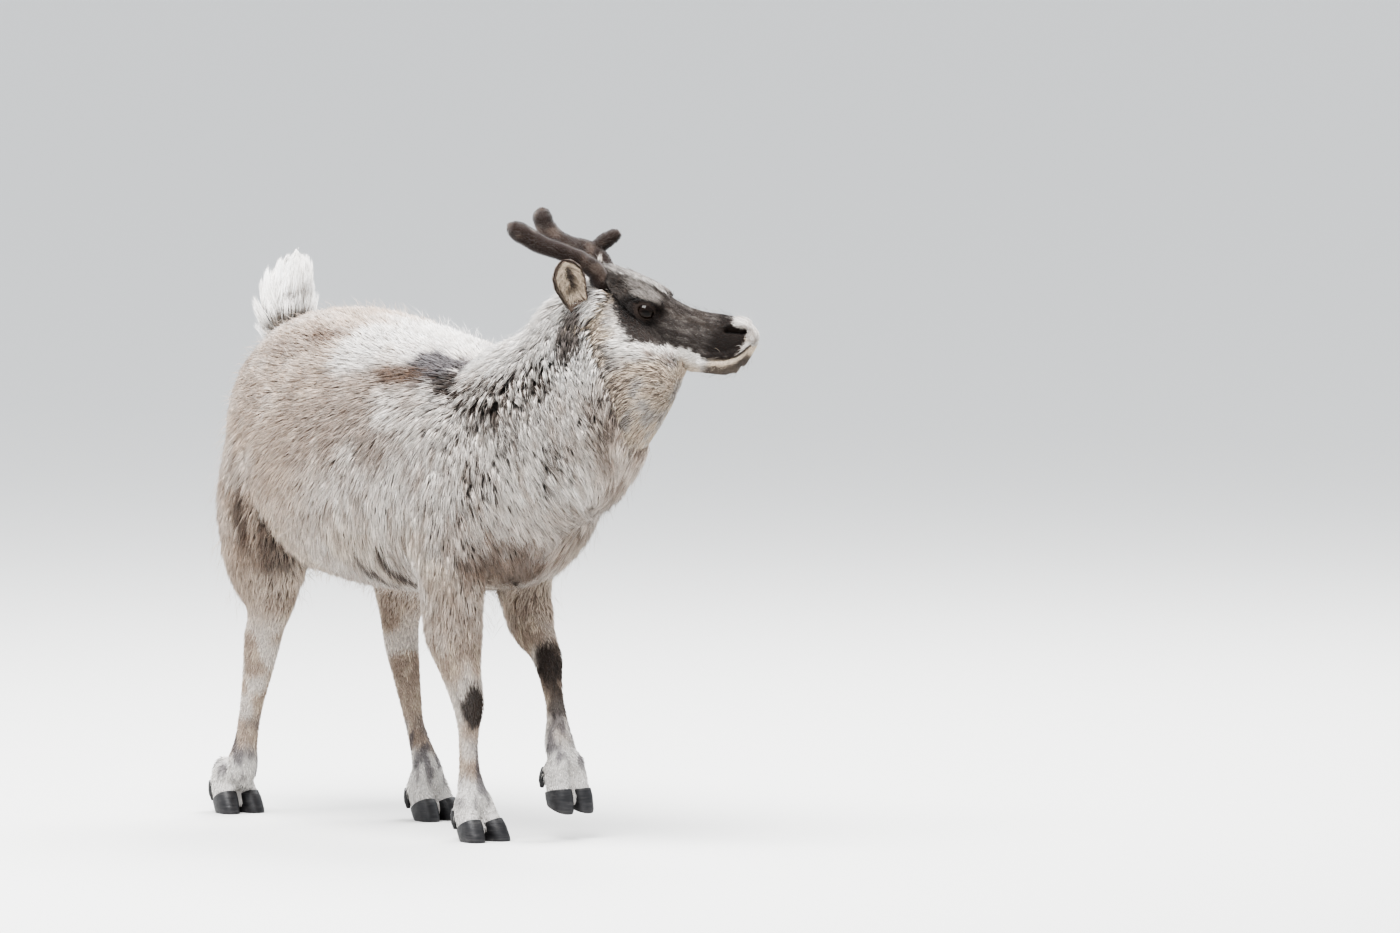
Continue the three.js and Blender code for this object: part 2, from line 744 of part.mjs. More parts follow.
// The depth of each coat at t along its form.
const clamp = THREE.MathUtils.clamp;
const coats = {
  trunk: () => TRUNK_COAT,
  neck: (t) => NECK_COAT * clamp((1.02 - t) / 0.3, 0, 1),
  limb: (t) => LIMB_COAT * clamp((0.36 - t) / 0.2, 0, 1),
  tail: (t) => TAIL_COAT * clamp((1.05 - t) / 0.3, 0, 1),
};
const limbForms = Object.fromEntries(
  Object.entries(LEGS).map(([name, leg]) => [name, form([...leg.upper, ...leg.lower], FORWARD)]),
);

// The root, the middle and the tip of a lock.
const lockEnds = (shape, size, lie) => [0, 0.5, 1].map((share) => lockPlace(shape, size, lie, share));

// Rings of locks round a form. Each ring is at a share of the form's length, and every other one is
// turned by half a space. The lie leans from the top of the form towards its underside.
function ringsOfLocks(shape, size, { from, to, rows, spacing, along, lean, coat, draw, keep, lift = 0 }) {
  const locks = [];
  for (let row = 0; row < rows; row++) {
    const t = shape.line.getUtoTmapping(from + ((to - from) * row) / (rows - 1), 0);
    const count = Math.max(Math.round((2 * Math.PI * shape.girth(t)) / spacing), 5);
    for (let i = 0; i < count; i++) {
      const angle = (2 * Math.PI * (i + (row % 2) / 2 + VARIED.around * draw())) / count;
      const lie = {
        t: t + VARIED.start * draw(),
        angle,
        along: along * (1 + VARIED.along * (draw() - 1)),
        around: lean * Math.sin(angle) + VARIED.around * draw(),
        coat: coat(t),
        lift: (lift * (1 + draw())) / 2,
      };
      const lock = varied(size, draw);
      if (keep(...lockEnds(shape, lock, lie))) locks.push((grow) => lockOn(shape, lock, lie, grow));
    }
  }
  return locks;
}

// Whether a place is where the free part of a leg is, or within `CLEARANCE` of it.
const inFreeLimb = (place) =>
  Object.entries(limbForms).some(
    ([name, limb]) => place.z < LEGS[name].cut + CLEARANCE && limb.holds(place, CLEARANCE),
  );

const trunkLocks = ringsOfLocks(TRUNK, LOCKS.trunk, {
  from: 0.97,
  to: 0.06,
  rows: 8,
  spacing: 99,
  along: -1,
  lean: 0.42,
  coat: coats.trunk,
  draw: seeded(11),
  keep: (root, middle, tip) =>
    ahead(NECK_TORSO, root) < -CLEARANCE &&
    !TAIL.holds(tip, CLEARANCE) &&
    !inFreeLimb(middle) &&
    !inFreeLimb(tip),
});

const neckLocks = ringsOfLocks(NECK, LOCKS.neck, {
  from: 0.9,
  to: 0.34,
  rows: 5,
  spacing: 60,
  along: -1,
  lean: 0.35,
  coat: coats.neck,
  draw: seeded(23),
  keep: (root) => ahead(NECK_TORSO, root) > CLEARANCE && ahead(NECK_HEAD, root) < -CLEARANCE,
});

const tailLocks = ringsOfLocks(TAIL, LOCKS.tail, {
  from: 0.16,
  to: 0.62,
  rows: 3,
  spacing: 44,
  along: 1,
  lean: 0,
  lift: 5,
  coat: coats.tail,
  draw: seeded(37),
  keep: (root) => ahead(TAIL_CUT, root) > CLEARANCE / 2,
});

// The outer and rear sides of a shoulder or thigh, in rows down the limb. The lowest locks are shorter, so
// that every tip stays above the level where the free leg starts.
function limbLocks(name, draw) {
  const hand = SIDES[name.split("_")[1]];
  const shape = limbForms[name];
  const level = LEGS[name].cut + CLEARANCE / 2;
  const locks = [];
  for (const [row, t] of LIMB_ROWS.entries())
    for (const turn of LIMB_TURNS) {
      const angle = -hand * radians(90 + turn - LIMB_STAGGER * (row % 2));
      const size = varied(LOCKS.limb, draw);
      const lock = { ...size, length: Math.min(size.length, shape.at(t, angle).z - level) };
      const lie = { t, angle, along: 1, around: -0.2 * hand + VARIED.around * draw(), coat: coats.limb(t) };
      const [root, , tip] = lockEnds(shape, lock, lie);
      const hidden = TRUNK.holds(tip, -4) || ahead(NECK_TORSO, root) > -2 * CLEARANCE;
      if (lock.length > lock.half && !hidden) locks.push(lockOn(shape, lock, lie));
    }
  return locks;
}

// Assembly
const nodes = {};
function put(name, body, look) {
  nodes[name] = { body: largest(body), look };
}

// The core under a form's coat, or the core grown by `grow`, and the union of locks, each grown the same way.
const core = (shape, mesh, coat, grow = 0) => shape.body(mesh, (t) => coat(t) - grow);
const trunkCore = (grow) => core(TRUNK, TRUNK_MESH, coats.trunk, grow);
const neckCore = (grow) => core(NECK, NECK_MESH, coats.neck, grow);
const tailCore = (grow) => core(TAIL, TAIL_MESH, coats.tail, grow);
const unionOf = (locks, grow = 0) => joined(locks.map((lock) => lock(grow)));

let torsoFlesh = trunkCore();
const aroundTrunk = trunkCore(GAP);
const aroundLegs = [];
for (const [name, leg] of Object.entries(LEGS)) {
  const top = { through: [0, 0, leg.cut], normal: [0, 0, -1] };
  const knee = { through: [0, 0, leg.knee], normal: [0, 0, -1] };
  const feet = footPieces(leg.foot);
  const limb = (grow) => core(limbForms[name], LIMB_MESH, coats.limb, grow);
  const [below, above] = parted(limb().add(feet.fur), top);
  const [lower, upper] = parted(below.subtract(aroundTrunk).subtract(feet.clear), knee);
  torsoFlesh = joined([torsoFlesh, above, ...limbLocks(name, seeded(name.length))]);
  aroundLegs.push(limb(GAP).intersect(aheadOf(top)));
  put(`leg_${name}_upper`, upper, LOOKS.leg);
  put(`leg_${name}_lower`, lower, LOOKS.leg);
  for (const [piece, body] of Object.entries(feet.horn)) put(`${piece}_${name}`, body, LOOKS.horn);
}

let headFlesh = headSolid();
const aroundHead = neckCore(GAP).add(moved(HEAD.body(HEAD_MESH, grown), HEAD_PLACE));
const sockets = [];
for (const [side, hand] of Object.entries(SIDES)) {
  const [ear, earRoot] = headCut(earSolid(EARS[side]), EAR_CUT, hand);
  const [antler, pedicle] = headCut(BEAMS[side].body(BEAM_MESH), BEAM_CUT, hand);
  headFlesh = joined([headFlesh, earRoot, pedicle]);
  put(`ear_${side}`, ear.subtract(aroundHead), LOOKS.fur);
  const centre = inHead(EYE[0], hand * EYE[1], EYE[2]);
  const eyeball = (radius) => ball(centre, [radius, radius, radius], EYE_SEGMENTS);
  put(`eye_${side}`, eyeball(EYE_RADIUS), LOOKS.eye);
  sockets.push(eyeball(EYE_RADIUS + GAP));
  const horn = antler.subtract(aroundHead);
  if (side === "right") {
    put("antler_right_beam", horn, LOOKS.velvet);
  } else {
    const [tine, beam] = headCut(horn.add(BROW_TINE.body(TINE_MESH)), TINE_CUT, hand);
    put("antler_left_beam", beam, LOOKS.velvet);
    put("antler_left_brow_tine", tine, LOOKS.velvet);
  }
}

const [front, back] = parted(joined([torsoFlesh, neckCore(), headFlesh]), NECK_TORSO);
const [head, neck] = parted(front, NECK_HEAD);
put("head", head.subtract(joined(sockets)), LOOKS.face);
put("neck", neck.add(unionOf(neckLocks).intersect(behind(NECK_HEAD))), LOOKS.fur);

// The torso is cut clear of what lies over it: the tail, the legs and the locks of the neck.
const [tailTop, tailRoot] = parted(tailCore(), TAIL_CUT);
put("tail", tailTop.add(unionOf(tailLocks).intersect(aheadOf(TAIL_CUT))), LOOKS.white);
const rump = { ...TAIL_CUT, through: [48, 0, 722 - 2 * GAP] };
const aroundTail = tailCore(GAP).add(unionOf(tailLocks, GAP)).intersect(aheadOf(rump));
const clear = joined([aroundTail, ...aroundLegs, unionOf(neckLocks, GAP)]);
const trunkCoat = unionOf(trunkLocks).intersect(behind(NECK_TORSO));
put("torso", joined([back, tailRoot, trunkCoat]).subtract(clear), LOOKS.fur);

const reindeer = new THREE.Group();
for (const [name, { body, look }] of Object.entries(nodes)) {
  const mesh = new THREE.Mesh(geometryOf(body), new THREE.MeshStandardMaterial(look));
  mesh.geometry.computeVertexNormals();
  mesh.name = name;
  reindeer.add(mesh);
}

// The origin is on the floor, under the middle of the animal's box.
const middle = new THREE.Box3().setFromObject(reindeer).getCenter(vec(0, 0, 0));
reindeer.position.set(-middle.x, -middle.y, 0);

export default reindeer;
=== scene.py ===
"""A young Svalbard reindeer in velvet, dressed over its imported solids: skin, coat, antlers, hooves, eyes.

Shapes are worked out in millimetres in the animal's own frame (+X along the trunk towards the chest, +Y to
its left, +Z up, the floor at 0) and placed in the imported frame, in metres, when their meshes are made.
"""

import math
from contextlib import contextmanager

import bpy
import numpy as np
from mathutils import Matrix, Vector
from mathutils.kdtree import KDTree


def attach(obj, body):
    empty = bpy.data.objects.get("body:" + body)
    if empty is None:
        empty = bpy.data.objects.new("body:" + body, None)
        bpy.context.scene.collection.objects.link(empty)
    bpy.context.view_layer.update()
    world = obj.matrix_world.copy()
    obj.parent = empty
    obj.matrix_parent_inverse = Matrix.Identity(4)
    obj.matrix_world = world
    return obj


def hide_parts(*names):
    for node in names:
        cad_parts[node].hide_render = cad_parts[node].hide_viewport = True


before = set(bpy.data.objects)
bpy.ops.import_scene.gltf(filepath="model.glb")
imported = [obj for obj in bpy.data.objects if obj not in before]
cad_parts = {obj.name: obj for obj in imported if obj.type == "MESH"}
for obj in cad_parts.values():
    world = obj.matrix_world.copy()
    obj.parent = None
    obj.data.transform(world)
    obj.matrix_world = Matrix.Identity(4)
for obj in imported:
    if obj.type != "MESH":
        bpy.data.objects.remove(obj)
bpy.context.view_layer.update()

bpy.ops.object.select_all(action="DESELECT")

# ---- Sizes, in millimetres

ORIGIN = np.array([477.206, 16.691, 0.0])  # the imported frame's origin, in the animal's own frame
HEAD_YAW, HEAD_PITCH, HEAD_ROLL = 46, 19, 8
POLL = np.array([815.0, 52.0, 848.0])
EYE = np.array([78.0, 39.0, -2.0])
EYE_RADIUS = 15.0
EYE_FACING = np.array([0.22, 1.0, 0.08])
ANTLER_RADIUS = 15.0
SIDES = {"left": 1, "right": -1}

TRUNK_COAT, NECK_COAT, LIMB_COAT, TAIL_COAT = 18, 24, 12, 16
SHORT_COAT = 2.0  # depth of the flat coat of the head and the lower legs
THIGH_END = 0.34  # share of a leg where the long coat stops
RUMP_END, FLANK_END = 270, 540  # places along the trunk where its pieces of coat meet
BODY_VOXEL, HEAD_VOXEL, ANTLER_VOXEL = 0.0056, 0.002, 0.0016  # metres

UP = np.array([0.0, 0.0, 1.0])
FORWARD = np.array([1.0, 0.0, 0.0])

rng = np.random.default_rng(20)


def unit(v):
    return v / np.maximum(np.linalg.norm(v, axis=-1, keepdims=True), 1e-9)


def smooth(low, high, x):
    share = np.clip((np.asarray(x, float) - low) / (high - low), 0, 1)
    return share * share * (3 - 2 * share)


def turn(axis, degrees):
    """A rotation matrix about one of the axes 0, 1 or 2."""
    c, s = math.cos(math.radians(degrees)), math.sin(math.radians(degrees))
    a, b = [(1, 2), (2, 0), (0, 1)][axis]
    m = np.eye(3)
    m[a, a] = m[b, b] = c
    m[a, b], m[b, a] = -s, s
    return m


HEAD_TURN = turn(2, HEAD_YAW) @ turn(1, HEAD_PITCH) @ turn(0, HEAD_ROLL)


def from_head(points):
    return np.asarray(points, float) @ HEAD_TURN.T + POLL


def to_head(points):
    return (np.asarray(points, float) - POLL) @ HEAD_TURN


# ---- Lofted forms


class Form:
    """A body along stations, each its centre (x, y, z) and its reach to the front, back and side."""

    def __init__(self, stations, to_front, squareness=2.0):
        stations = np.array(stations, float)
        self.centres, self.sizes = stations[:, :3], stations[:, 3:]
        self.to_front = np.asarray(to_front, float)
        self.squareness = squareness

    def _blend(self, values, t, ends):
        """Catmull-Rom through the values at t from 0 to 1; ends are what stands before and after them."""
        padded = np.vstack([ends[0], values, ends[1]])
        place = np.clip(np.asarray(t, float), 0, 1) * (len(values) - 1)
        i = np.minimum(place.astype(int), len(values) - 2)
        u = (place - i)[..., None]
        a, b, c, d = padded[i], padded[i + 1], padded[i + 2], padded[i + 3]
        return b + 0.5 * u * (c - a + u * (2 * a - 5 * b + 4 * c - d + u * (3 * (b - c) + d - a)))

    def line(self, t):
        p = self.centres
        return self._blend(p, t, (2 * p[0] - p[1], 2 * p[-1] - p[-2]))

    def size(self, t):
        s = self.sizes
        return self._blend(s, t, (s[0], s[-1]))

    def axes(self, t):
        t = np.asarray(t, float)
        axis = unit(self.line(np.minimum(t + 1e-4, 1)) - self.line(np.maximum(t - 1e-4, 0)))
        front = unit(self.to_front - axis * (axis @ self.to_front)[..., None])
        return axis, front, np.cross(axis, front)

    def at(self, t, angle, inset=0.0):
        t, angle = np.broadcast_arrays(np.asarray(t, float), np.asarray(angle, float))
        _, front, side = self.axes(t)
        size = self.size(t) - np.broadcast_to(inset, t.shape)[..., None]
        c, s = np.cos(angle), np.sin(angle)
        power = 2 / self.squareness
        ahead = np.where(c > 0, size[..., 0], size[..., 1]) * np.sign(c) * np.abs(c) ** power
        wide = size[..., 2] * np.sign(s) * np.abs(s) ** power
        return self.line(t) + front * ahead[..., None] + side * wide[..., None]

    def shell(self, steps, sides, inset=lambda t: 0.0 * t, first=0.0, last=1.0):
        """Points and triangles of the closed form."""
        t = np.linspace(first, last, steps + 1)
        angle = np.arange(sides) * 2 * math.pi / sides
        rings = self.at(t[:, None], angle[None, :], np.asarray(inset(t))[:, None])
        points = np.vstack([rings.reshape(-1, 3), self.line(np.array([first, last]))])
        return points, ring_faces(steps + 1, sides)


def ring_faces(rings, sides):
    """The triangles over rings of points, closed by the two points that follow them."""
    j = np.arange(sides)
    k = (j + 1) % sides
    low = (np.arange(rings - 1) * sides)[:, None]
    a, b, c, d = low + j, low + k, low + sides + k, low + sides + j
    walls = np.stack([a, b, c, a, c, d], axis=-1).reshape(-1, 3)
    top = (rings - 1) * sides
    ends = [
        np.stack([np.full(sides, rings * sides), k, j], axis=1),
        np.stack([np.full(sides, rings * sides + 1), top + j, top + k], axis=1),
    ]
    return np.vstack([walls, *ends])


def merged(shells):
    """Several (points, triangles) as one."""
    points, faces, count = [], [], 0
    for p, f in shells:
        points.append(p)
        faces.append(f + count)
        count += len(p)
    return np.vstack(points), np.vstack(faces)


def upright(*rows):
    """Stations of a form with a level axis, from rows (x, top, height where widest, bottom, half-width)."""
    return [(x, 0, widest, top - widest, widest - bottom, half) for x, top, widest, bottom, half in rows]


TRUNK = Form(
    upright(
        (-6, 600, 560, 520, 26), (8, 682, 565, 440, 84), (60, 745, 568, 402, 130),
        (125, 780, 565, 386, 162), (205, 792, 558, 374, 186), (300, 786, 550, 364, 200),
        (395, 771, 545, 358, 204), (490, 759, 545, 362, 196), (575, 746, 550, 370, 180),
        (650, 722, 560, 384, 160), (710, 676, 560, 412, 134), (752, 618, 555, 458, 94),
        (770, 575, 550, 515, 34),
    ),
    UP,
    2.25,
)
NECK = Form(
    [
        (560, 0, 590, 120, 140, 110), (650, 2, 615, 138, 172, 132), (722, 14, 648, 142, 178, 128),
        (776, 38, 697, 132, 162, 112), (811, 60, 742, 133, 152, 99), (838, 84, 782, 116, 136, 84),
        (855, 101, 806, 84, 106, 64), (866, 112, 818, 30, 30, 26),
    ],
    [-0.45, -0.25, 0.86],
    2.1,
)
HEAD = Form(
    upright(
        (-52, -20, -38, -60, 18), (-42, 6, -35, -84, 42), (-15, 24, -34, -104, 55),
        (20, 31, -32, -108, 58), (52, 32, -26, -108, 57), (80, 28, -22, -102, 52), (106, 20, -24, -96, 44),
        (136, 17, -26, -88, 37), (166, 19, -24, -77, 34), (196, 25, -20, -70, 35), (220, 27, -17, -63, 34),
        (238, 18, -18, -54, 28), (247, -2, -20, -40, 13),
    ),
    UP,
    2.2,
)
TAIL = Form(
    [
        (64, 0, 690, 20, 20, 24), (50, -2, 728, 33, 38, 48), (46, -4, 772, 33, 40, 53),
        (53, -3, 815, 28, 30, 43), (61, 0, 848, 18, 19, 26), (68, 0, 870, 5, 5, 6),
    ],
    FORWARD,
)
LEGS = {
    "hind_right": {
        "stations": [
            (170, -80, 660, 60, 60, 40), (166, -100, 590, 108, 92, 68), (152, -110, 500, 110, 103, 70),
            (142, -110, 430, 98, 93, 58), (140, -106, 380, 76, 80, 47), (138, -102, 340, 50, 62, 33),
            (126, -98, 305, 38, 42, 24), (110, -94, 268, 32, 42, 23), (94, -91, 228, 26, 34, 21),
            (78, -88, 192, 22, 28, 18), (62, -86, 150, 19, 23, 16.5), (48, -84, 110, 20, 21, 19),
            (36, -82, 80, 24, 24, 25), (30, -81, 58, 22, 20, 24), (30, -81, 40, 12, 10, 13),
        ],
        "foot": {"at": [2, -80, 0], "yaw": -4, "splay": 8, "pitch": 0},
    },
    "hind_left": {
        "stations": [
            (190, 80, 660, 60, 60, 40), (190, 104, 590, 112, 110, 72), (198, 110, 500, 112, 112, 70),
            (206, 106, 430, 98, 96, 58), (208, 102, 380, 76, 70, 46), (205, 99, 340, 52, 50, 33),
            (204, 98, 305, 38, 42, 26), (210, 97, 268, 30, 38, 23), (222, 95, 228, 25, 29, 21),
            (234, 94, 188, 20, 22, 18), (250, 92, 145, 17, 18, 15), (270, 91, 108, 19, 20, 18),
            (286, 90, 80, 23, 24, 24), (294, 90, 58, 21, 20, 23), (298, 90, 40, 12, 10, 13),
        ],
        "foot": {"at": [290, 90, 0], "yaw": 4, "splay": 9, "pitch": 0},
    },
    "front_right": {
        "stations": [
            (600, -70, 640, 50, 50, 40), (610, -100, 570, 88, 92, 62), (624, -108, 480, 82, 84, 58),
            (634, -104, 410, 66, 68, 46), (634, -100, 360, 54, 60, 40), (632, -95, 312, 46, 54, 37),
            (634, -87, 268, 38, 42, 30), (638, -80, 232, 30, 33, 26), (640, -76, 204, 27, 26, 23),
            (636, -73, 172, 20, 20, 17), (632, -70, 140, 17, 18, 15.5), (630, -67, 108, 18, 19, 17),
            (630, -64, 78, 22, 22, 23), (636, -62, 56, 21, 20, 24), (640, -61, 38, 12, 10, 13),
        ],
        "foot": {"at": [636, -61, 0], "yaw": 4, "splay": 12, "pitch": 0},
    },
    "front_left": {
        "stations": [
            (575, 70, 640, 50, 50, 40), (562, 100, 570, 88, 92, 62), (545, 106, 480, 78, 82, 56),
            (536, 100, 410, 60, 62, 44), (548, 94, 362, 46, 48, 34), (576, 88, 318, 38, 40, 28),
            (604, 85, 290, 30, 30, 22), (622, 83, 266, 27, 24, 21), (636, 80, 238, 20, 20, 17),
            (648, 78, 206, 16, 17, 15), (658, 76, 174, 19, 20, 18), (664, 75, 146, 23, 24, 24),
            (672, 75, 124, 22, 20, 24), (678, 75, 108, 12, 10, 13),
        ],
        "foot": {"at": [690, 74, 52], "yaw": 2, "splay": 3, "pitch": 16},
    },
}
for leg in LEGS.values():
    leg["form"] = Form(leg["stations"], FORWARD)


def trunk_inset(t):
    return TRUNK_COAT + 0 * t


def neck_inset(t):
    return SHORT_COAT + (NECK_COAT - SHORT_COAT) * np.clip((1.02 - t) / 0.3, 0, 1)


def limb_inset(t):
    return SHORT_COAT + (LIMB_COAT - SHORT_COAT) * np.clip((0.36 - t) / 0.2, 0, 1)


def tail_inset(t):
    return TAIL_COAT * np.clip((1.05 - t) / 0.3, 0, 1)


# ---- Feet

TOE_APART = 17  # from the foot's middle to a toe's
SKIN_ABOVE_SOLE = 4
# Where the horn starts: a point of the plane and the way to the horn.
CORONET = (np.array([24.0, 0, 30]), np.array([0.5, 0, -1]))
DEWCLAW_CUT = (np.array([-24.0, 0, 44]), np.array([-0.45, 0, -1]))
LIFTED = LEGS["front_left"]["foot"]["at"][2]  # height of the lifted foot


def toe_form(hand):
    y = hand * TOE_APART
    return Form(
        [
            (-8, hand * 8, 84, 10, 10, 8), (-6, hand * 12, 70, 20, 19, 15), (2, y, 50, 20, 24, 16),
            (12, y, 30, 21, 27, 17), (24, y, 12, 22, 27, 17), (38, y, -2, 16, 26, 14),
            (50, y, -14, 6, 10, 6),
        ],
        [0.9, 0, 0.45],
        2.3,
    )


def dewclaw_form(hand):
    y = hand * TOE_APART
    return Form(
        [
            (-6, y * 0.8, 72, 7, 7, 6), (-16, y, 60, 11, 11, 9), (-24, y * 1.1, 44, 10, 9, 9),
            (-28, y * 1.15, 28, 8, 6, 7), (-28, y * 1.15, 16, 3, 2.5, 3),
        ],
        FORWARD,
    )


def foot_place(foot, hand):
    """The function that takes points of one toe's frame to the animal's."""
    fetlock = np.array([-6.0, 0, 72])
    hang = turn(1, foot["pitch"])

    def placed(points):
        turned = points @ turn(2, foot["splay"] * hand).T
        hung = (turned - fetlock) @ hang.T + fetlock
        return hung @ turn(2, foot["yaw"]).T + np.array(foot["at"], float)

    return placed


# ---- Meshes


def to_frame(points):
    return (np.asarray(points, float) - ORIGIN) / 1000


def new_object(name, points, faces):
    """A mesh object from points in the animal's frame and triangles."""
    mesh = bpy.data.meshes.new(name)
    mesh.vertices.add(len(points))
    mesh.vertices.foreach_set("co", np.ascontiguousarray(to_frame(points), np.float32).ravel())
    mesh.loops.add(faces.size)
    mesh.loops.foreach_set("vertex_index", np.ascontiguousarray(faces, np.int32).ravel())
    mesh.polygons.add(len(faces))
    mesh.polygons.foreach_set("loop_start", np.arange(0, faces.size, faces.shape[1], dtype=np.int32))
    mesh.update(calc_edges=True)
    made = bpy.data.objects.new(name, mesh)
    bpy.context.scene.collection.objects.link(made)
    return made


def only(made):
    bpy.ops.object.select_all(action="DESELECT")
    made.select_set(True)
    bpy.context.view_layer.objects.active = made


@contextmanager
def editing(made):
    """Edit mode on one object, with all of its mesh selected."""
    only(made)
    bpy.ops.object.mode_set(mode="EDIT")
    bpy.ops.mesh.select_all(action="SELECT")
    yield
    bpy.ops.object.mode_set(mode="OBJECT")


def apply_modifier(made, kind, **settings):
    only(made)
    modifier = made.modifiers.new(kind.lower(), kind)
    for name, value in settings.items():
        setattr(modifier, name, value)
    bpy.ops.object.modifier_apply(modifier=modifier.name)


def remeshed(made, voxel, smoothing):
    apply_modifier(made, "REMESH", mode="VOXEL", voxel_size=voxel, adaptivity=0)
    apply_modifier(made, "SMOOTH", factor=0.5, iterations=smoothing)


def cut_away(made, through, normal):
    """Cuts off what lies ahead of a plane that is given in the animal's frame."""
    with editing(made):
        place, heading = to_frame(through), unit(normal)
        bpy.ops.mesh.bisect(plane_co=place, plane_no=heading, use_fill=True, clear_outer=True)


def points_of(made):
    co = np.empty(len(made.data.vertices) * 3, np.float32)
    made.data.vertices.foreach_get("co", co)
    return co.reshape(-1, 3).astype(float) * 1000 + ORIGIN


def move_points(made, points):
    made.data.vertices.foreach_set("co", to_frame(points).astype(np.float32).ravel())
    made.data.update()


def normals_of(made):
    n = np.empty(len(made.data.vertices) * 3, np.float32)
    made.data.vertex_normals.foreach_get("vector", n)
    return n.reshape(-1, 3).astype(float)


def join(parts, name):
    only(parts[0])
    for part in parts:
        part.select_set(True)
    bpy.ops.object.join()
    parts[0].name = parts[0].data.name = name
    return parts[0]


def smooth_shaded(made):
    only(made)
    bpy.ops.object.shade_smooth()
    return made


# ---- Skin

NECK_SPLIT = 0.84  # share of the neck where the finer skin of the head begins


def body_shells():
    shells = [
        TRUNK.shell(60, 64, trunk_inset),
        NECK.shell(48, 48, neck_inset),
        TAIL.shell(24, 24, tail_inset),
    ]
    for leg in LEGS.values():
        shells.append(leg["form"].shell(96, 28, limb_inset))
        for hand in (1, -1):
            placed = foot_place(leg["foot"], hand)
            for shape in (toe_form(hand), dewclaw_form(hand)):
                points, faces = shape.shell(20, 18, lambda t: SHORT_COAT + 0 * t)
                points[:, 2] = np.maximum(points[:, 2], SKIN_ABOVE_SOLE)
                shells.append((placed(points), faces))
    return shells


def head_half_width(x, z):
    """The half-width of the head at a place along it and a height, both in its own frame."""
    x, z = np.broadcast_arrays(np.asarray(x, float), np.asarray(z, float))
    steps = np.linspace(0, 1, 400)
    t = np.interp(x, HEAD.line(steps)[:, 0], steps)
    rise = z - HEAD.line(t)[..., 2]
    size = HEAD.size(t)
    share = np.minimum(np.abs(rise / np.where(rise > 0, size[..., 0], size[..., 1])), 0.999)
    return size[..., 2] * (1 - share**HEAD.squareness) ** (1 / HEAD.squareness)


MOUTH = [(181, -45), (197, -40), (215, -33), (230, -23), (238, -13), (243, -4)]
NOSTRIL = [(203, 8), (209, 10), (218, 12), (226, 14), (231, 14)]


def head_cord(places, hand):
    """A cord along places on the head's side, (x, z, radius, how far out)."""
    stations = []
    for x, z, radius, out in places:
        half = float(head_half_width(x, z))
        stations.append((x, hand * (half + out), z, radius, radius, radius))
    points, faces = Form(stations, UP).shell(24, 14)
    return from_head(points), faces


def ellipsoid(centre, radii, segments=20):
    angle = np.arange(segments) * 2 * math.pi / segments
    polar = np.linspace(0.08, math.pi - 0.08, segments // 2)
    wide = np.sin(polar)[:, None]
    height = -np.cos(polar)[:, None] + 0 * angle
    rings = np.stack([wide * np.cos(angle), wide * np.sin(angle), height], axis=-1)
    points = np.vstack([rings.reshape(-1, 3), [[0, 0, -1], [0, 0, 1]]])
    return points * radii + centre, ring_faces(len(polar), segments)


def eye_axes(hand):
    facing = unit(EYE_FACING * [1, hand, 1])
    across = unit(np.array([1, 0, -0.18]) - facing * (facing @ np.array([1, 0, -0.18])))
    up = np.cross(facing, across) * hand * -1
    up = up if up[2] > 0 else -up
    return EYE * [1, hand, 1], facing, across, up


def lid_ring(hand, around=40, sides=10):
    """The thick rim of the eyelids: an almond ring that lies on the eyeball."""
    centre, facing, across, up = eye_axes(hand)
    angle = np.arange(around) * 2 * math.pi / around
    wide, high = 14.2, np.where(np.sin(angle) > 0, 9.8, 8.6)
    path = centre + across * (wide * np.cos(angle))[:, None] + up * (high * np.sin(angle))[:, None]
    path = path + facing * (9.5 - 4.5 * np.cos(angle) ** 2)[:, None]
    outward = unit(path - centre - facing * ((path - centre) @ facing)[:, None])
    small = np.arange(sides) * 2 * math.pi / sides
    rings = path[:, None, :] + 3.1 * (
        outward[:, None, :] * np.cos(small)[None, :, None] + facing * np.sin(small)[None, :, None]
    )
    j, k = np.arange(sides), (np.arange(sides) + 1) % sides
    faces = []
    for i in range(around):
        a, b = i * sides, ((i + 1) % around) * sides
        faces.append(np.stack([a + j, b + j, b + k, a + j, b + k, a + k], axis=1).reshape(-1, 3))
    return from_head(rings.reshape(-1, 3)), np.vstack(faces)


def head_shells():
    """The head, the end of the neck, lips, nostril rims, eyelids, brows, cheekbones and jaw muscles."""
    points, faces = HEAD.shell(120, 72, lambda t: SHORT_COAT * smooth(1, 0.8, t))
    shells = [(from_head(points), faces), NECK.shell(30, 64, neck_inset, 0.7, 1.0)]
    upper_lip = [(x - 1, z + 6, 4 + i * 0.3, -2) for i, (x, z) in enumerate(MOUTH)]
    lower_lip = [(x - 4, z - 7, 4.5, -2) for x, z in MOUTH]
    rim = ((199, 12, 2), (206, 18, 4), (216, 21, 4.5), (227, 20, 4.5), (235, 12, 3))
    nostril_rim = [(*place, -1) for place in rim]
    for hand in (1, -1):
        shells += [head_cord(cord, hand) for cord in (upper_lip, lower_lip, nostril_rim)] + [lid_ring(hand)]
        for centre, radii in (
            ((74, 36, 13), (27, 13, 9)),
            ((104, 30, -22), (34, 9, 12)),
            ((40, 44, -62), (34, 11, 26)),
        ):
            points, faces = ellipsoid(np.array(centre) * [1, hand, 1], radii)
            shells.append((from_head(points), faces))
    return shells


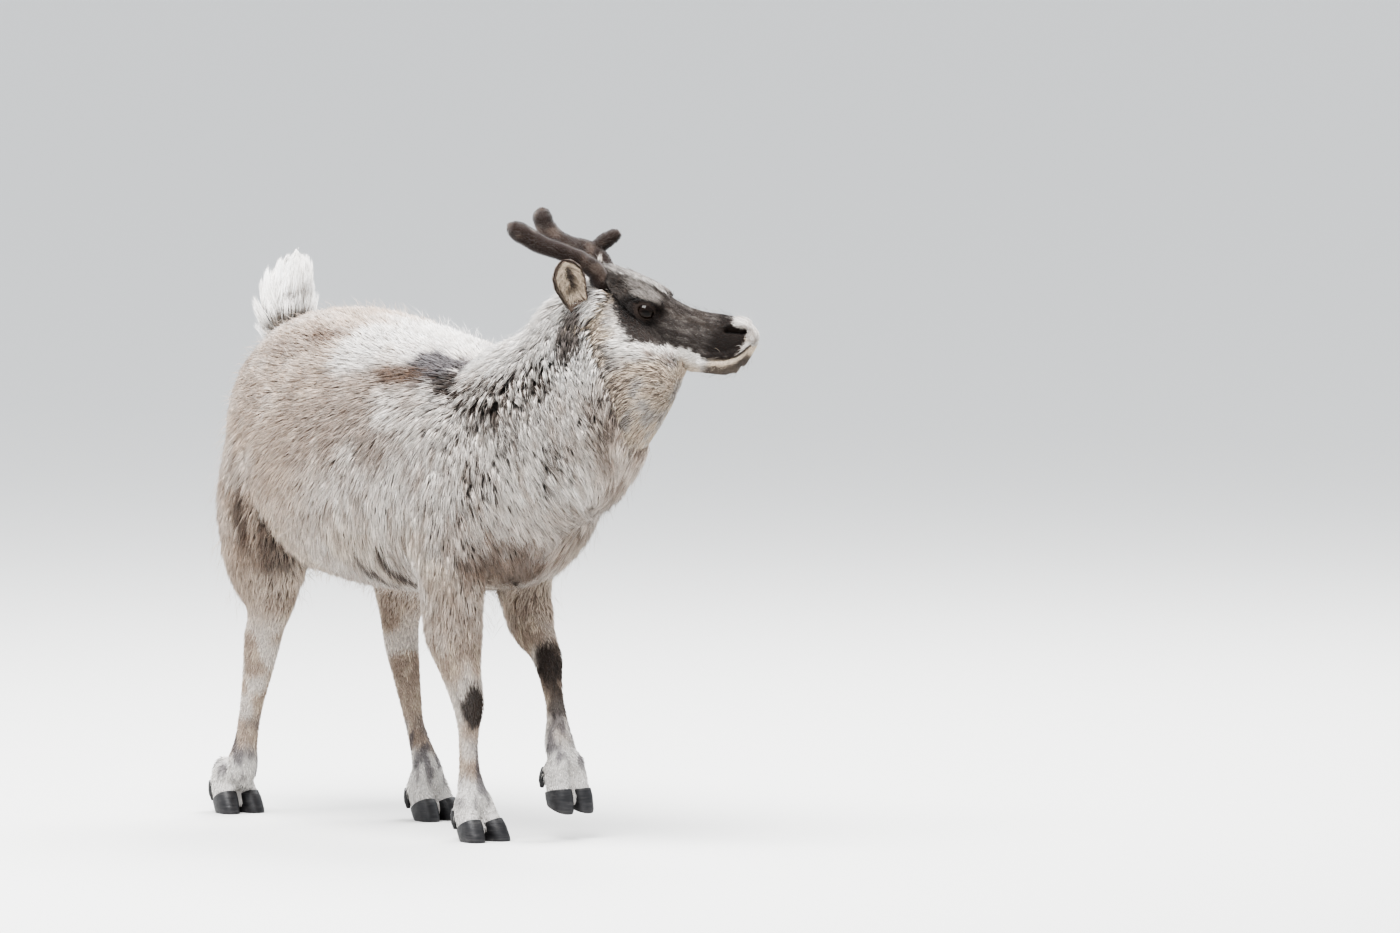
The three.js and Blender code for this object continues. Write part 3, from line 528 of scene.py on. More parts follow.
def nearest_on_path(points, path):
    """The distance of points (two columns) from a polyline, and the share of it where they are nearest."""
    path = np.array(path, float)
    best, share = np.full(len(points), 1e9), np.zeros(len(points))
    for i in range(len(path) - 1):
        step = path[i + 1] - path[i]
        u = np.clip((points - path[i]) @ step / (step @ step), 0, 1)
        gap = np.linalg.norm(points - path[i] - u[:, None] * step, axis=1)
        nearer = gap < best
        best[nearer], share[nearer] = gap[nearer], (i + u[nearer]) / (len(path) - 1)
    return best, share


def sculpt_head(made):
    """Presses in the mouth line and nostrils, opens the lids and adds folds to the head's skin."""
    points = to_head(points_of(made))
    normals = normals_of(made) @ HEAD_TURN
    side = np.abs(points[:, 1])
    on_side = side > 0.4 * head_half_width(points[:, 0], points[:, 2])
    gap, share = nearest_on_path(points[:, [0, 2]], MOUTH + [(247, 0)])
    depth = 4.6 * np.exp(-((gap / 1.7) ** 2)) * (0.5 + 0.5 * share)
    depth[points[:, 0] < 150] = 0
    hole, _ = nearest_on_path(points[:, [0, 2]], NOSTRIL)
    depth = depth + 9 * np.exp(-((hole / 3.4) ** 2)) * on_side * (side > 12)
    points -= normals * depth[:, None]
    for hand in (1, -1):
        centre, facing, across, up = eye_axes(hand)
        off = points - centre
        ahead, a, b = off @ facing, off @ across, off @ up
        reach = np.linalg.norm(off, axis=1)
        high = np.where(b > 0, 8.6, 7.2)
        almond = np.hypot(a / 12.6, b / high)
        near = (ahead > 0) & (reach < 34)
        inside = near & (almond < 1)
        points[inside] = centre + unit(off[inside]) * (EYE_RADIUS * 0.8)
        fold = 1.3 * np.exp(-(((almond - 2.0) / 0.16) ** 2)) * (b > -2) * near
        fold += 0.9 * np.exp(-(((almond - 2.5) / 0.2) ** 2)) * (b < 3) * near
        points -= facing * fold[:, None]
    move_points(made, from_head(points))


def make_skin():
    """The skins of the body and of the head, which meet in the neck at NECK_SPLIT."""
    body, head = (
        new_object(name, *merged(shells))
        for name, shells in (("skin_of_body", body_shells()), ("skin_of_head", head_shells()))
    )
    remeshed(body, BODY_VOXEL, 3)
    remeshed(head, HEAD_VOXEL, 2)
    split = NECK.line(np.array([NECK_SPLIT]))[0]
    along = NECK.axes(np.array([NECK_SPLIT]))[0][0]
    cut_away(body, split, along)
    cut_away(head, split, -along)
    sculpt_head(head)
    for made in (body, head):
        with editing(made):
            bpy.ops.mesh.quads_convert_to_tris()
    return body, head


# ---- Ears


EARS = {
    "right": {"root": [-25, -42, -28], "tip": [-60, -92, 43], "open": [0.55, -0.83, -0.1]},
    "left": {"root": [-25, 42, -28], "tip": [-84, 84, 18], "open": [0.45, 0.83, 0.35]},
}
EAR_WIDTH = ([0, 0.2, 0.45, 0.68, 0.86, 0.96, 1], [14, 18, 23, 22, 15, 7.5, 1.5])
EAR_CUP = ([0, 0.12, 0.3, 0.5, 0.7, 0.88, 1], [0, 3, 11, 14, 10, 5, 0.5])


def ear_surface(side, t, across, lift=0.0):
    """A place on the inner face of an ear's leaf: t from its root to its tip, across from -1 to 1."""
    ear = EARS[side]
    start, tip = from_head(ear["root"]), from_head(ear["tip"])
    along = tip - start
    facing = HEAD_TURN @ np.array(ear["open"], float)
    facing = unit(facing - along * (facing @ along) / (along @ along))
    wide = unit(np.cross(along, facing))
    t, across = np.broadcast_arrays(np.asarray(t, float), np.asarray(across, float))
    half = np.interp(t, *EAR_WIDTH)
    cup = np.interp(t, *EAR_CUP)
    bow = -18 * t * (1 - t) - cup * (1 - across**2) + 6 * (1 - t) * np.abs(across)
    centre = start + along * t[..., None] + facing * (bow + 8 + lift)[..., None]
    return centre + wide * (half * np.sin(across * math.pi / 2))[..., None]


def ear_thickness(t, across):
    return 2.6 + 5 * (1 - t) * (1 - across**2)


def make_ear_skin(side, rows=44, columns=30):
    """An ear's leaf: its inner and outer faces and the rim between them."""
    t = np.linspace(0, 1, rows)[:, None]
    across = np.linspace(-1, 1, columns)[None, :]
    inner = ear_surface(side, t, across)
    outer = ear_surface(side, t, across, -ear_thickness(t, across))
    points = np.vstack([inner.reshape(-1, 3), outer.reshape(-1, 3)])
    i = np.arange(rows - 1)[:, None] * columns
    j = np.arange(columns - 1)[None, :]
    a, b, c, d = i + j, i + j + 1, i + columns + j + 1, i + columns + j
    quads = np.stack([a, b, c, a, c, d], axis=-1).reshape(-1, 3)
    shift = rows * columns
    rim = np.concatenate(
        [
            np.arange(columns),
            np.arange(1, rows) * columns + columns - 1,
            (rows - 1) * columns + np.arange(columns - 2, -1, -1),
            np.arange(rows - 2, 0, -1) * columns,
        ]
    )
    after = np.roll(rim, -1)
    edge = np.stack([rim, after + shift, after, rim, rim + shift, after + shift], axis=1).reshape(-1, 3)
    faces = np.vstack([quads, quads[:, ::-1] + shift, edge[:, ::-1]])
    made = new_object(f"skin_of_ear_{side}", points, faces)
    with editing(made):
        bpy.ops.mesh.remove_doubles(threshold=1e-6)
        bpy.ops.mesh.normals_make_consistent(inside=False)
    return made


# ---- Markings

SRGB = {
    "white": (243, 240, 236),
    "cream": (230, 214, 194),
    "beige": (207, 190, 175),
    "taupe": (156, 138, 125),
    "brown": (116, 90, 71),
    "umber": (66, 49, 39),
    "charcoal": (48, 43, 41),
    "black": (17, 15, 15),
    "slate": (104, 102, 108),
    "velvet": (82, 60, 49),
    "ash": (182, 176, 170),
}


def linear(rgb):
    c = np.array(rgb, float) / 255
    return np.where(c <= 0.04045, c / 12.92, ((c + 0.055) / 1.055) ** 2.4)


HUE = {name: linear(rgb) for name, rgb in SRGB.items()}


def lattice_noise(points, size, seed):
    """Smooth noise from 0 to 1 over places, with lumps about `size` across."""
    table = np.random.default_rng(seed).random(4096)
    p = points / size
    cell = np.floor(p).astype(int)
    f = p - cell
    f = f * f * (3 - 2 * f)
    total = np.zeros(len(points))
    for corner in range(8):
        bits = np.array([(corner >> k) & 1 for k in range(3)])
        at = cell + bits
        key = (at[:, 0] * 73856093 ^ at[:, 1] * 19349663 ^ at[:, 2] * 83492791) & 4095
        total += np.prod(np.where(bits, f, 1 - f), axis=1) * table[key]
    return total


def washed(colour, *washes):
    """Washes of colour one over the other, each its strength at every place and its colour's name."""
    for strength, name in washes:
        colour = colour + (HUE[name] - colour) * np.reshape(np.clip(strength, 0, 1), (-1, 1))
    return colour


def spot(points, centre, radii, seed=3, rough=0.35):
    """1 at a spot's centre, falling to 0 at its ragged edge."""
    gap = np.linalg.norm((points - centre) / radii, axis=1)
    gap = gap + rough * (lattice_noise(points, 14, seed) - 0.5) * 2
    return smooth(1.15, 0.6, gap)


def inside_outline(places, outline):
    """How far places in a plane are inside a closed outline; negative outside."""
    outline = np.array(outline, float)
    x, y = places.T
    inside = np.zeros(len(places), bool)
    best = np.full(len(places), 1e9)
    for (x0, y0), (x1, y1) in zip(outline, np.roll(outline, -1, axis=0)):
        step = np.array([x1 - x0, y1 - y0])
        u = np.clip(((x - x0) * step[0] + (y - y0) * step[1]) / (step @ step), 0, 1)
        best = np.minimum(best, np.hypot(x - x0 - u * step[0], y - y0 - u * step[1]))
        crosses = (y0 > y) != (y1 > y)
        inside ^= crosses & (x < (x1 - x0) * (y - y0) / (y1 - y0 if y1 != y0 else 1) + x0)
    return np.where(inside, best, -best)


# Spots of the coat: centre, radii, colour and strength. The umber and brown spots where the legs meet the
# trunk and under the chest are painted shade in folds.
BODY_SPOTS = (
    ((572, -72, 712), (64, 44, 30), "slate", 0.9),
    ((622, -88, 698), (34, 36, 28), "charcoal", 0.9),
    ((528, -98, 700), (60, 36, 13), "brown", 0.85),
    ((560, 34, 728), (36, 30, 26), "slate", 0.4),
    ((300, -84, 740), (54, 30, 14), "brown", 0.8),
    ((240, -112, 726), (80, 36, 20), "taupe", 0.6),
    ((300, 74, 742), (42, 26, 15), "taupe", 0.6),
    # Where the hind legs meet the belly: painted shade in the folds.
    ((212, -150, 440), (22, 60, 56), "umber", 0.75),
    ((222, 150, 440), (22, 60, 56), "umber", 0.75),
    ((168, -160, 492), (20, 50, 62), "umber", 0.7),
    ((182, 160, 492), (20, 50, 62), "umber", 0.7),
    ((180, -150, 440), (44, 60, 40), "brown", 0.4),
    ((190, 150, 440), (44, 60, 40), "brown", 0.4),
    # At the belly's edge behind the front legs: painted shade in the folds.
    ((450, -120, 418), (14, 60, 52), "umber", 0.8),
    ((500, -120, 420), (17, 60, 58), "umber", 0.9),
    ((476, 120, 402), (26, 60, 40), "umber", 0.7),
    # Under the chest, between the front legs: painted shade.
    ((706, -50, 436), (60, 100, 46), "brown", 0.75),
    ((822, -10, 795), (22, 34, 50), "umber", 0.8),
    ((800, 110, 800), (30, 30, 46), "umber", 0.6),
)


def body_markings(points):
    """The colour of the coat's tips and of its depths on the trunk, neck and tail; the darker depths are
    partly darker hair bases and partly painted shade.
    """
    x, y, z = points.T
    broad, middle = lattice_noise(points, 60, 1), lattice_noise(points, 27, 4)
    fine, streak = lattice_noise(points * [1, 1, 0.5], 9, 2), lattice_noise(points * [1, 1, 0.22], 7, 15)
    light = smooth(300, 520, x + 0.75 * (600 - z) + 80 * (broad - 0.5))
    back_end = smooth(300, 368, x + 70 * (middle - 0.5) + 50 * (broad - 0.5))
    back = smooth(706, 738, z + 26 * (middle - 0.5)) * back_end
    flank = smooth(250, 330, x) * smooth(620, 540, x) * smooth(716, 690, z) * smooth(550, 600, z)
    rump = smooth(320, 240, x) * smooth(430, 500, z)
    throat = smooth(700, 800, x) * smooth(-20, 60, x - 830 + 0.6 * y) * smooth(760, 640, z)
    belly = smooth(450, 385, z) * smooth(60, 150, x)
    tip = washed(
        HUE["beige"],
        (0.8 * light, "white"),
        (0.6 * smooth(0.3, 0.75, broad) * smooth(560, 430, z) * smooth(120, 260, x), "cream"),
        (back, "white"),
        (spot(points, (420, -110, 712), (56, 60, 30), 21, 0.2), "white"),
        (0.62 * flank * smooth(0.2, 0.6, middle), "taupe"),
        (0.35 * rump * smooth(0.45, 0.7, middle), "taupe"),
        (0.3 * rump * smooth(0.5, 0.25, middle) + 0.5 * smooth(60, 10, x) * smooth(500, 560, z), "white"),
        (0.5 * throat, "beige"),
        (0.6 * throat * smooth(0.45, 0.7, middle), "taupe"),
        (0.45 * smooth(620, 700, x) * smooth(560, 470, z), "taupe"),
        (0.5 * belly * smooth(0.4, 0.7, middle), "taupe"),
        (0.5 * smooth(0.5, 0.85, fine) * (1 - 0.6 * back), "taupe"),
        (0.5 * smooth(0.55, 0.8, streak) * smooth(640, 520, z), "taupe"),
    )
    # The depths: the tips washed with taupe, partly for the hairs' darker bases and partly as painted shade
    # deep in the coat.
    deep = washed(tip, (0.55, "taupe"))
    for centre, radii, name, strength in BODY_SPOTS:
        mark = strength * spot(points, centre, radii)
        tip, deep = washed(tip, (mark, name)), washed(deep, (mark, "umber"))
    return tip, deep


def crack_share(points):
    """How strongly the dark depths of the coat, with painted shade, show in the cracks between its clumps:
    on the shoulders and the neck.
    """
    x, y, z = points.T
    rise = z - np.interp(x, [560, 650, 740, 800, 860], [706, 704, 712, 752, 800])
    patchy = smooth(0.36, 0.6, lattice_noise(points * [1, 1, 0.7], 36, 51))
    ends = smooth(590, 636, x) * smooth(890, 840, x + 0.4 * np.abs(y))
    upper = ends * smooth(16, -2, rise) * smooth(-50, -26, rise)
    below = smooth(650, 700, x) * smooth(0, -30, rise) * smooth(-230, -150, rise)
    low = smooth(560, 640, x) * smooth(400, 480, z)
    return np.clip(0.85 * upper + 0.62 * below * patchy + 0.12 * low * patchy, 0, 1)


# Dark spots of the legs: centre, radii and strength.
LEG_SPOTS = (
    ((668, -82, 206), (26, 34, 46), 0.95),
    ((640, 80, 262), (34, 34, 40), 0.95),
    ((664, 78, 214), (16, 30, 42), 0.8),
)


def leg_markings(points):
    """The colour of the coat on the legs, from their height and their front."""
    x, y, z = points.T
    fine, broad = lattice_noise(points * [1, 1, 0.5], 8, 5), lattice_noise(points, 34, 6)
    streak = lattice_noise(points * [1, 1, 0.3], 9, 16)
    toes = np.where((x > 600) & (y > 0), z - LIFTED, z)
    tip = washed(
        HUE["beige"],
        (0.65 * smooth(0.3, 0.75, broad), "taupe"),
        (0.6 * smooth(0.5, 0.85, fine), "cream"),
        (0.55 * smooth(0.5, 0.3, broad) * smooth(360, 260, z), "white"),
        (0.95 * smooth(122, 84, toes + 30 * (broad - 0.5)), "white"),
        (0.75 * smooth(176, 120, toes) * smooth(40, 70, toes) * smooth(0.45, 0.7, streak), "slate"),
    )
    for centre, radii, strength in LEG_SPOTS:
        tip = washed(tip, (strength * spot(points, centre, radii, 7, 0.3), "charcoal"))
    # The depths, washed with umber: partly darker hair bases, partly painted shade deep in the coat.
    return tip, washed(tip, (0.5, "umber"))


# Outlines on the side of the head, in its own frame: the dark mask (x, z), and the pale nose's edge.
MASK = [
    *((-8, 34), (0, 20), (18, 4), (36, -14), (50, -28), (62, -42), (80, -49), (106, -46)),
    *((130, -43), (160, -38), (180, -44), (199, -41), (216, -34), (236, -16), (240, 60), (-8, 60)),
]
NOSE_EDGE = ([-24, -14, 4, 13, 18, 24, 32], [228, 233, 237, 234, 213, 207, 204])


def face_markings(points):
    """The colour of the coat on the head, in the head's own frame: both sides alike."""
    p = to_head(points)
    x, y, z = p.T
    side, profile = np.abs(y), p[:, [0, 2]]
    mirrored = np.stack([x, side, z], axis=1)
    rag = 9 * (lattice_noise(mirrored, 7, 8) - 0.5) + 7 * (lattice_noise(mirrored, 3, 9) - 0.5)
    fine, middle = lattice_noise(mirrored * [0.4, 1, 1], 4, 10), lattice_noise(mirrored, 16, 11)
    speck = lattice_noise(mirrored * [0.6, 1, 1], 1.5, 61)
    streak = smooth(0.5, 0.75, lattice_noise(mirrored * [0.35, 1, 1], 5, 62))
    inside = inside_outline(profile, MASK)
    rim = smooth(-30, -6, inside) * (z < 0) * smooth(20, 60, x) * smooth(196, 184, x)
    mask = smooth(-1.5, 3.5, inside + rag)
    forehead_width = np.interp(x, [-30, 10, 50, 80, 98, 110], [24, 14, 16, 13, 4, -8])
    forehead = smooth(-3, 4, forehead_width - side + 1.5 * rag) * smooth(0, 12, z) * smooth(-60, -30, x)
    round_eye = smooth(1.2, 0.85, np.hypot((x - 74) / 33, (z + 5) / 22) + 0.02 * rag) * (side > 20)
    brow = smooth(13, 19, z + 0.4 * rag) * smooth(40, 54, x) * smooth(110, 94, x) * smooth(14, 22, side)
    muzzle = mask * smooth(172, 198, x + 1.5 * rag)
    below = np.interp(x, *zip(*MOUTH)) - z
    nose = smooth(-2, 3, x - np.interp(z, *NOSE_EDGE) + 0.5 * rag) * (below < 0)
    lip = smooth(-1, 2, below) * smooth(17, 11, below + 0.5 * rag) * smooth(188, 200, x)
    chin = smooth(11, 17, below + 0.5 * rag) * smooth(184, 196, x)
    mouth, nostril = nearest_on_path(profile, MOUTH)[0], nearest_on_path(profile, NOSTRIL)[0]
    tip = washed(
        HUE["ash"],
        (0.85 * smooth(0.2, 0.6, middle), "cream"),
        (0.45 * smooth(-60, -90, z) * smooth(0.4, 0.7, middle), "taupe"),
        (0.85 * rim, "white"),
        (0.6 * spot(mirrored, (98, 50, -62), (30, 30, 10), 12) * streak, "brown"),
        (0.6 * spot(mirrored, (140, 40, -64), (34, 30, 12), 14) * streak, "brown"),
        (0.5 * streak * smooth(60, 20, x) * smooth(-70, -20, z), "taupe"),
        (0.95 * mask, "charcoal"),
        (0.28 * mask * smooth(0.45, 0.8, fine) * smooth(90, 120, x), "ash"),
        (0.9 * forehead, "ash"),
        (0.5 * forehead * smooth(0.4, 0.75, fine + 0.3 * smooth(50, 90, x)), "white"),
        (0.75 * forehead * smooth(0.52, 0.3, speck) * smooth(95, 40, x), "charcoal"),
        (0.4 * mask * smooth(0.62, 0.85, speck) * smooth(84, 130, x), "ash"),
        (0.75 * spot(mirrored, (-8, 46, -6), (22, 26, 24), 13), "umber"),
        (0.95 * round_eye, "black"),
        (0.7 * brow, "ash"),
        (0.92 * muzzle, "black"),
        (0.35 * mask, "black"),
        (0.97 * nose, "ash"),
        (0.6 * nose * smooth(0.35, 0.6, fine), "white"),
        (0.9 * lip, "cream"),
        (0.85 * chin, "charcoal"),
        (0.9 * smooth(2.8, 1.2, mouth) * smooth(190, 225, x), "black"),
        (0.97 * smooth(4.4, 2.8, nostril) * (side > 10), "black"),
    )
    # The depths, washed with umber in the mask and taupe elsewhere: partly darker hair bases, partly
    # painted shade deep in the coat.
    return tip, washed(tip, (0.5 * mask, "umber"), (0.3 * (1 - mask), "taupe"))


# ---- The lie of the coat

# Each region's form, the way its coat points along it, and the part of the unwrap,
# (left, bottom, width, height), where its tufts are coloured.
REGIONS = {
    "trunk": dict(form=TRUNK, inset=trunk_inset, along=-1, atlas=(0.0, 0.5, 0.55, 0.5)),
    "neck": dict(form=NECK, inset=neck_inset, along=-1, atlas=(0.55, 0.5, 0.45, 0.5)),
    "tail": dict(form=TAIL, inset=tail_inset, along=1, atlas=(0.85, 0.25, 0.15, 0.25)),
    "head": dict(form=HEAD, inset=lambda t: SHORT_COAT + 0 * t, along=-1, atlas=(0.5, 0.0, 0.35, 0.5)),
}
for index, (name, leg) in enumerate(LEGS.items()):
    REGIONS[name] = dict(form=leg["form"], inset=limb_inset, along=1, atlas=(0.125 * index, 0.0, 0.12, 0.5))
NAMES = list(REGIONS)
# A guide's columns after its place and direction: its region's number, and shares along and round its form.
REGION, SHARE, ROUND = 6, 7, 8


def lies_in(guides, *names):
    """Which guides are in the named regions."""
    return np.isin(guides[:, REGION], [NAMES.index(name) for name in names])


def tree_of(places):
    tree = KDTree(len(places))
    for i, place in enumerate(places):
        tree.insert(place, i)
    tree.balance()
    return tree


def flat_on(normals, lie):
    """Directions turned into the surface."""
    return unit(lie - normals * (lie * normals).sum(1)[:, None])


def make_guides():
    """Places all over the forms with the way along them there and the columns named above."""
    rows = []
    for index, name in enumerate(NAMES):
        region = REGIONS[name]
        form = region["form"]
        angle = np.linspace(-math.pi, math.pi, 64, endpoint=False)
        t, angle = np.meshgrid(np.linspace(0.01, 0.99, 70), angle)
        t, angle = t.ravel(), angle.ravel()
        inset = region["inset"](t)
        shares = (t, np.minimum(t + 0.004, 1), np.maximum(t - 0.004, 0))
        here, ahead, behind = (form.at(share, angle, inset) for share in shares)
        along = unit(ahead - behind) * region["along"]
        if name == "head":
            here, along = from_head(here), along @ HEAD_TURN.T
        row = np.column_stack([here, along, np.full(len(t), index), t, (angle / (2 * math.pi)) % 1])
        rows.append(row[(to_head(here)[:, 0] < 8) | (name != "neck")])  # the end of the neck is in the head
    guides = np.vstack(rows)
    return guides, tree_of(guides[:, :3])


GUIDES, GUIDE_TREE = make_guides()


def guide_of(points):
    """The nearest guide to each place."""
    return GUIDES[[GUIDE_TREE.find(p)[1] for p in points]]


def wanted_lie(points, normals, guides):
    """The way the coat would lie at each place of the skin."""
    along = guides[:, 3:6]
    x, _, z = points.T
    lean = 10 + 52 * smooth(725, 480, z) + 42 * smooth(260, 620, x) + 24 * smooth(600, 750, x)
    fall = np.radians(np.clip(lean, 0, 124))
    trunk = np.stack([-np.cos(fall), 0 * x, -np.sin(fall)], axis=1)
    nape = smooth(0.45, 0.85, normals @ unit(NECK.to_front))[:, None]
    neck = along * (0.35 + 0.9 * nape) + np.array([0.62, 0.45, -0.62]) * (1 - 0.8 * nape)
    local = to_head(points)
    low = smooth(10, -70, local[:, 2])
    sink = 0.1 - 0.75 * low * smooth(170, 90, local[:, 0])
    face = np.stack([-1 + 0 * low, 0 * low, sink], axis=1) @ HEAD_TURN.T
    limb = lies_in(guides, *LEGS)
    lie = trunk
    for here, wanted in (
        (lies_in(guides, "neck"), neck),
        (lies_in(guides, "head"), face),
        (lies_in(guides, "tail"), along * 0.2 + UP),
        (limb, along + [-0.15, 0, -0.3]),
        (limb & (guides[:, SHARE] > 0.97), np.array([0.45, 0, -1])),
    ):
        lie = np.where(here[:, None], wanted, lie)
    return unit(lie)


def lie_over(made, rounds):
    """The coat's direction at every vertex of a skin, evened out along it."""
    points, normals = points_of(made), normals_of(made)
    guides = guide_of(points)
    lie = flat_on(normals, wanted_lie(points, normals, guides))
    edges = np.empty(len(made.data.edges) * 2, np.int32)
    made.data.edges.foreach_get("vertices", edges)
    a, b = edges.reshape(-1, 2).T
    for _ in range(rounds):
        total = lie.copy()
        for k in range(3):
            total[:, k] += np.bincount(a, lie[b, k], len(lie)) + np.bincount(b, lie[a, k], len(lie))
        lie = flat_on(normals, total)
    return points, normals, lie, guides


def coat_sizes(points, normals, guides):
    """Columns of the coat's sizes at places: length, stand, clump size, pull of the clump, width."""
    x, _, z = points.T
    ahead, out, up = to_head(points).T
    t = guides[:, SHARE]
    low, back, fore = smooth(640, 400, z), smooth(700, 745, z), smooth(560, 680, x)
    split = crack_share(points)
    near_head = smooth(-60, 30, ahead) * smooth(-150, -100, up)
    throat = smooth(0.3, 0.9, normals @ -unit(NECK.to_front))
    rear, crown = smooth(120, 10, ahead), smooth(20, -20, ahead)
    top = smooth(108, 80, ahead) * smooth(4, 20, up) * smooth(44, 24, np.abs(out))
    cheek = smooth(-38, -60, up) * smooth(200, 120, ahead)
    upper, middle = np.clip((0.42 - t) / 0.24, 0, 1), np.clip((0.75 - t) / 0.5, 0, 1)
    sizes = {
        ("trunk",): (
            31 + 9 * low - 6 * back + 5 * fore,
            TRUNK_COAT * (0.86 - 0.16 * low + 0.12 * back),
            8 + 2 * fore,
            0.42 + 0.08 * fore + 0.35 * split,
            1.9,
        ),
        ("neck",): (
            34 + 8 * throat - 4 * near_head,
            neck_inset(t) * (0.8 - 0.1 * throat) + 3 * near_head,
            9 - 4 * near_head,
            0.48 + 0.32 * split - 0.15 * near_head,
            1.8 + 0.5 * near_head,
        ),
        ("tail",): (
            np.clip(0.82 * (866 - z), 12, 60),
            TAIL_COAT * 0.75 * np.clip((890 - z) / 110, 0.12, 1),
            12,
            0.72,
            1.8,
        ),
        ("head",): (
            np.maximum(5 + 8 * rear + 11 * top + 13 * cheek + 5 * crown, 5),
            1.3 + 1.6 * rear + 6.5 * top + 2.6 * cheek + 2 * crown,
            2.6 + 2 * rear + 1.5 * cheek,
            0.2 + 0.3 * rear + 0.2 * cheek,
            0.95 + 0.55 * rear + 0.5 * cheek,
        ),
        tuple(LEGS): (
            9 + 5 * middle + 22 * upper,
            1.8 + 1.4 * middle + (LIMB_COAT - 2.5) * upper,
            4 + 5 * upper,
            0.35 + 0.2 * upper,
            1.25 + 0.5 * upper,
        ),
    }
    rows = np.zeros((len(points), 5))
    for names, columns in sizes.items():
        here = lies_in(guides, *names)
        rows[here] = np.stack(np.broadcast_arrays(*columns, t)[:5], axis=1)[here]
    return rows


def atlas_place(guides):
    """Places on the unwrap, each in its own region's part of it."""
    cells = np.array([REGIONS[name]["atlas"] for name in NAMES])[guides[:, REGION].astype(int)]
    return cells[:, :2] + (0.03 + 0.94 * guides[:, [ROUND, SHARE]]) * cells[:, 2:]


# ---- Tufts

PATCH = 0.003  # width of a tuft's patch on the unwrap
LOWEST = 0.2  # millimetres from the floor to the lowest hair

# A tuft is a closed blade with a root, three points round its middle and a tip.
BLADE = np.array([[0, 1, 2], [0, 2, 3], [0, 3, 1], [4, 2, 1], [4, 3, 2], [4, 1, 3]])
BLADE_PLACE = np.array([[0, -0.5], [-0.5, -0.05], [0.5, -0.05], [0, -0.05], [0, 0.5]]) * PATCH


def triangles_of(made):
    mesh = made.data
    mesh.calc_loop_triangles()
    tri = np.empty(len(mesh.loop_triangles) * 3, np.int32)
    mesh.loop_triangles.foreach_get("vertices", tri)
    return tri.reshape(-1, 3)


def scatter(points, triangles, weight, count):
    """Random places over triangles by their area and weight: the triangles, and shares of their corners."""
    a, b, c = (points[triangles[:, k]] for k in range(3))
    area = np.linalg.norm(np.cross(b - a, c - a), axis=1) / 2 * weight
    total = np.cumsum(area)
    ticks = (np.arange(count) + rng.random(count)) / count * total[-1]
    chosen = np.minimum(np.searchsorted(total, ticks), len(triangles) - 1)
    u, v = rng.random(count), rng.random(count)
    over = u + v > 1
    u[over], v[over] = 1 - u[over], 1 - v[over]
    return chosen, np.stack([1 - u - v, u, v], axis=1), total[-1]


def clumps_of(root, clump, spacing):
    """Each tuft's clump: the tuft that leads it, how near its edge this one is, and the clump's tone."""
    chance = np.clip((spacing / clump) ** 2, 0, 1)
    lead = np.flatnonzero(rng.random(len(root)) < chance)
    if len(lead) < 2:
        lead = np.arange(min(2, len(root)))
    tree = tree_of(root[lead])
    found = [tree.find_n(place, 2) for place in root]
    own = lead[[f[0][1] for f in found]]
    gap = np.array([[f[0][2], f[1][2]] for f in found])
    edge = smooth(0.36, 0.03, (gap[:, 1] - gap[:, 0]) / clump)
    reach = smooth(2.6, 1.4, gap[:, 0] / clump)
    tone = rng.normal(0, 1, len(root))[own]
    return own, edge * reach, reach, tone


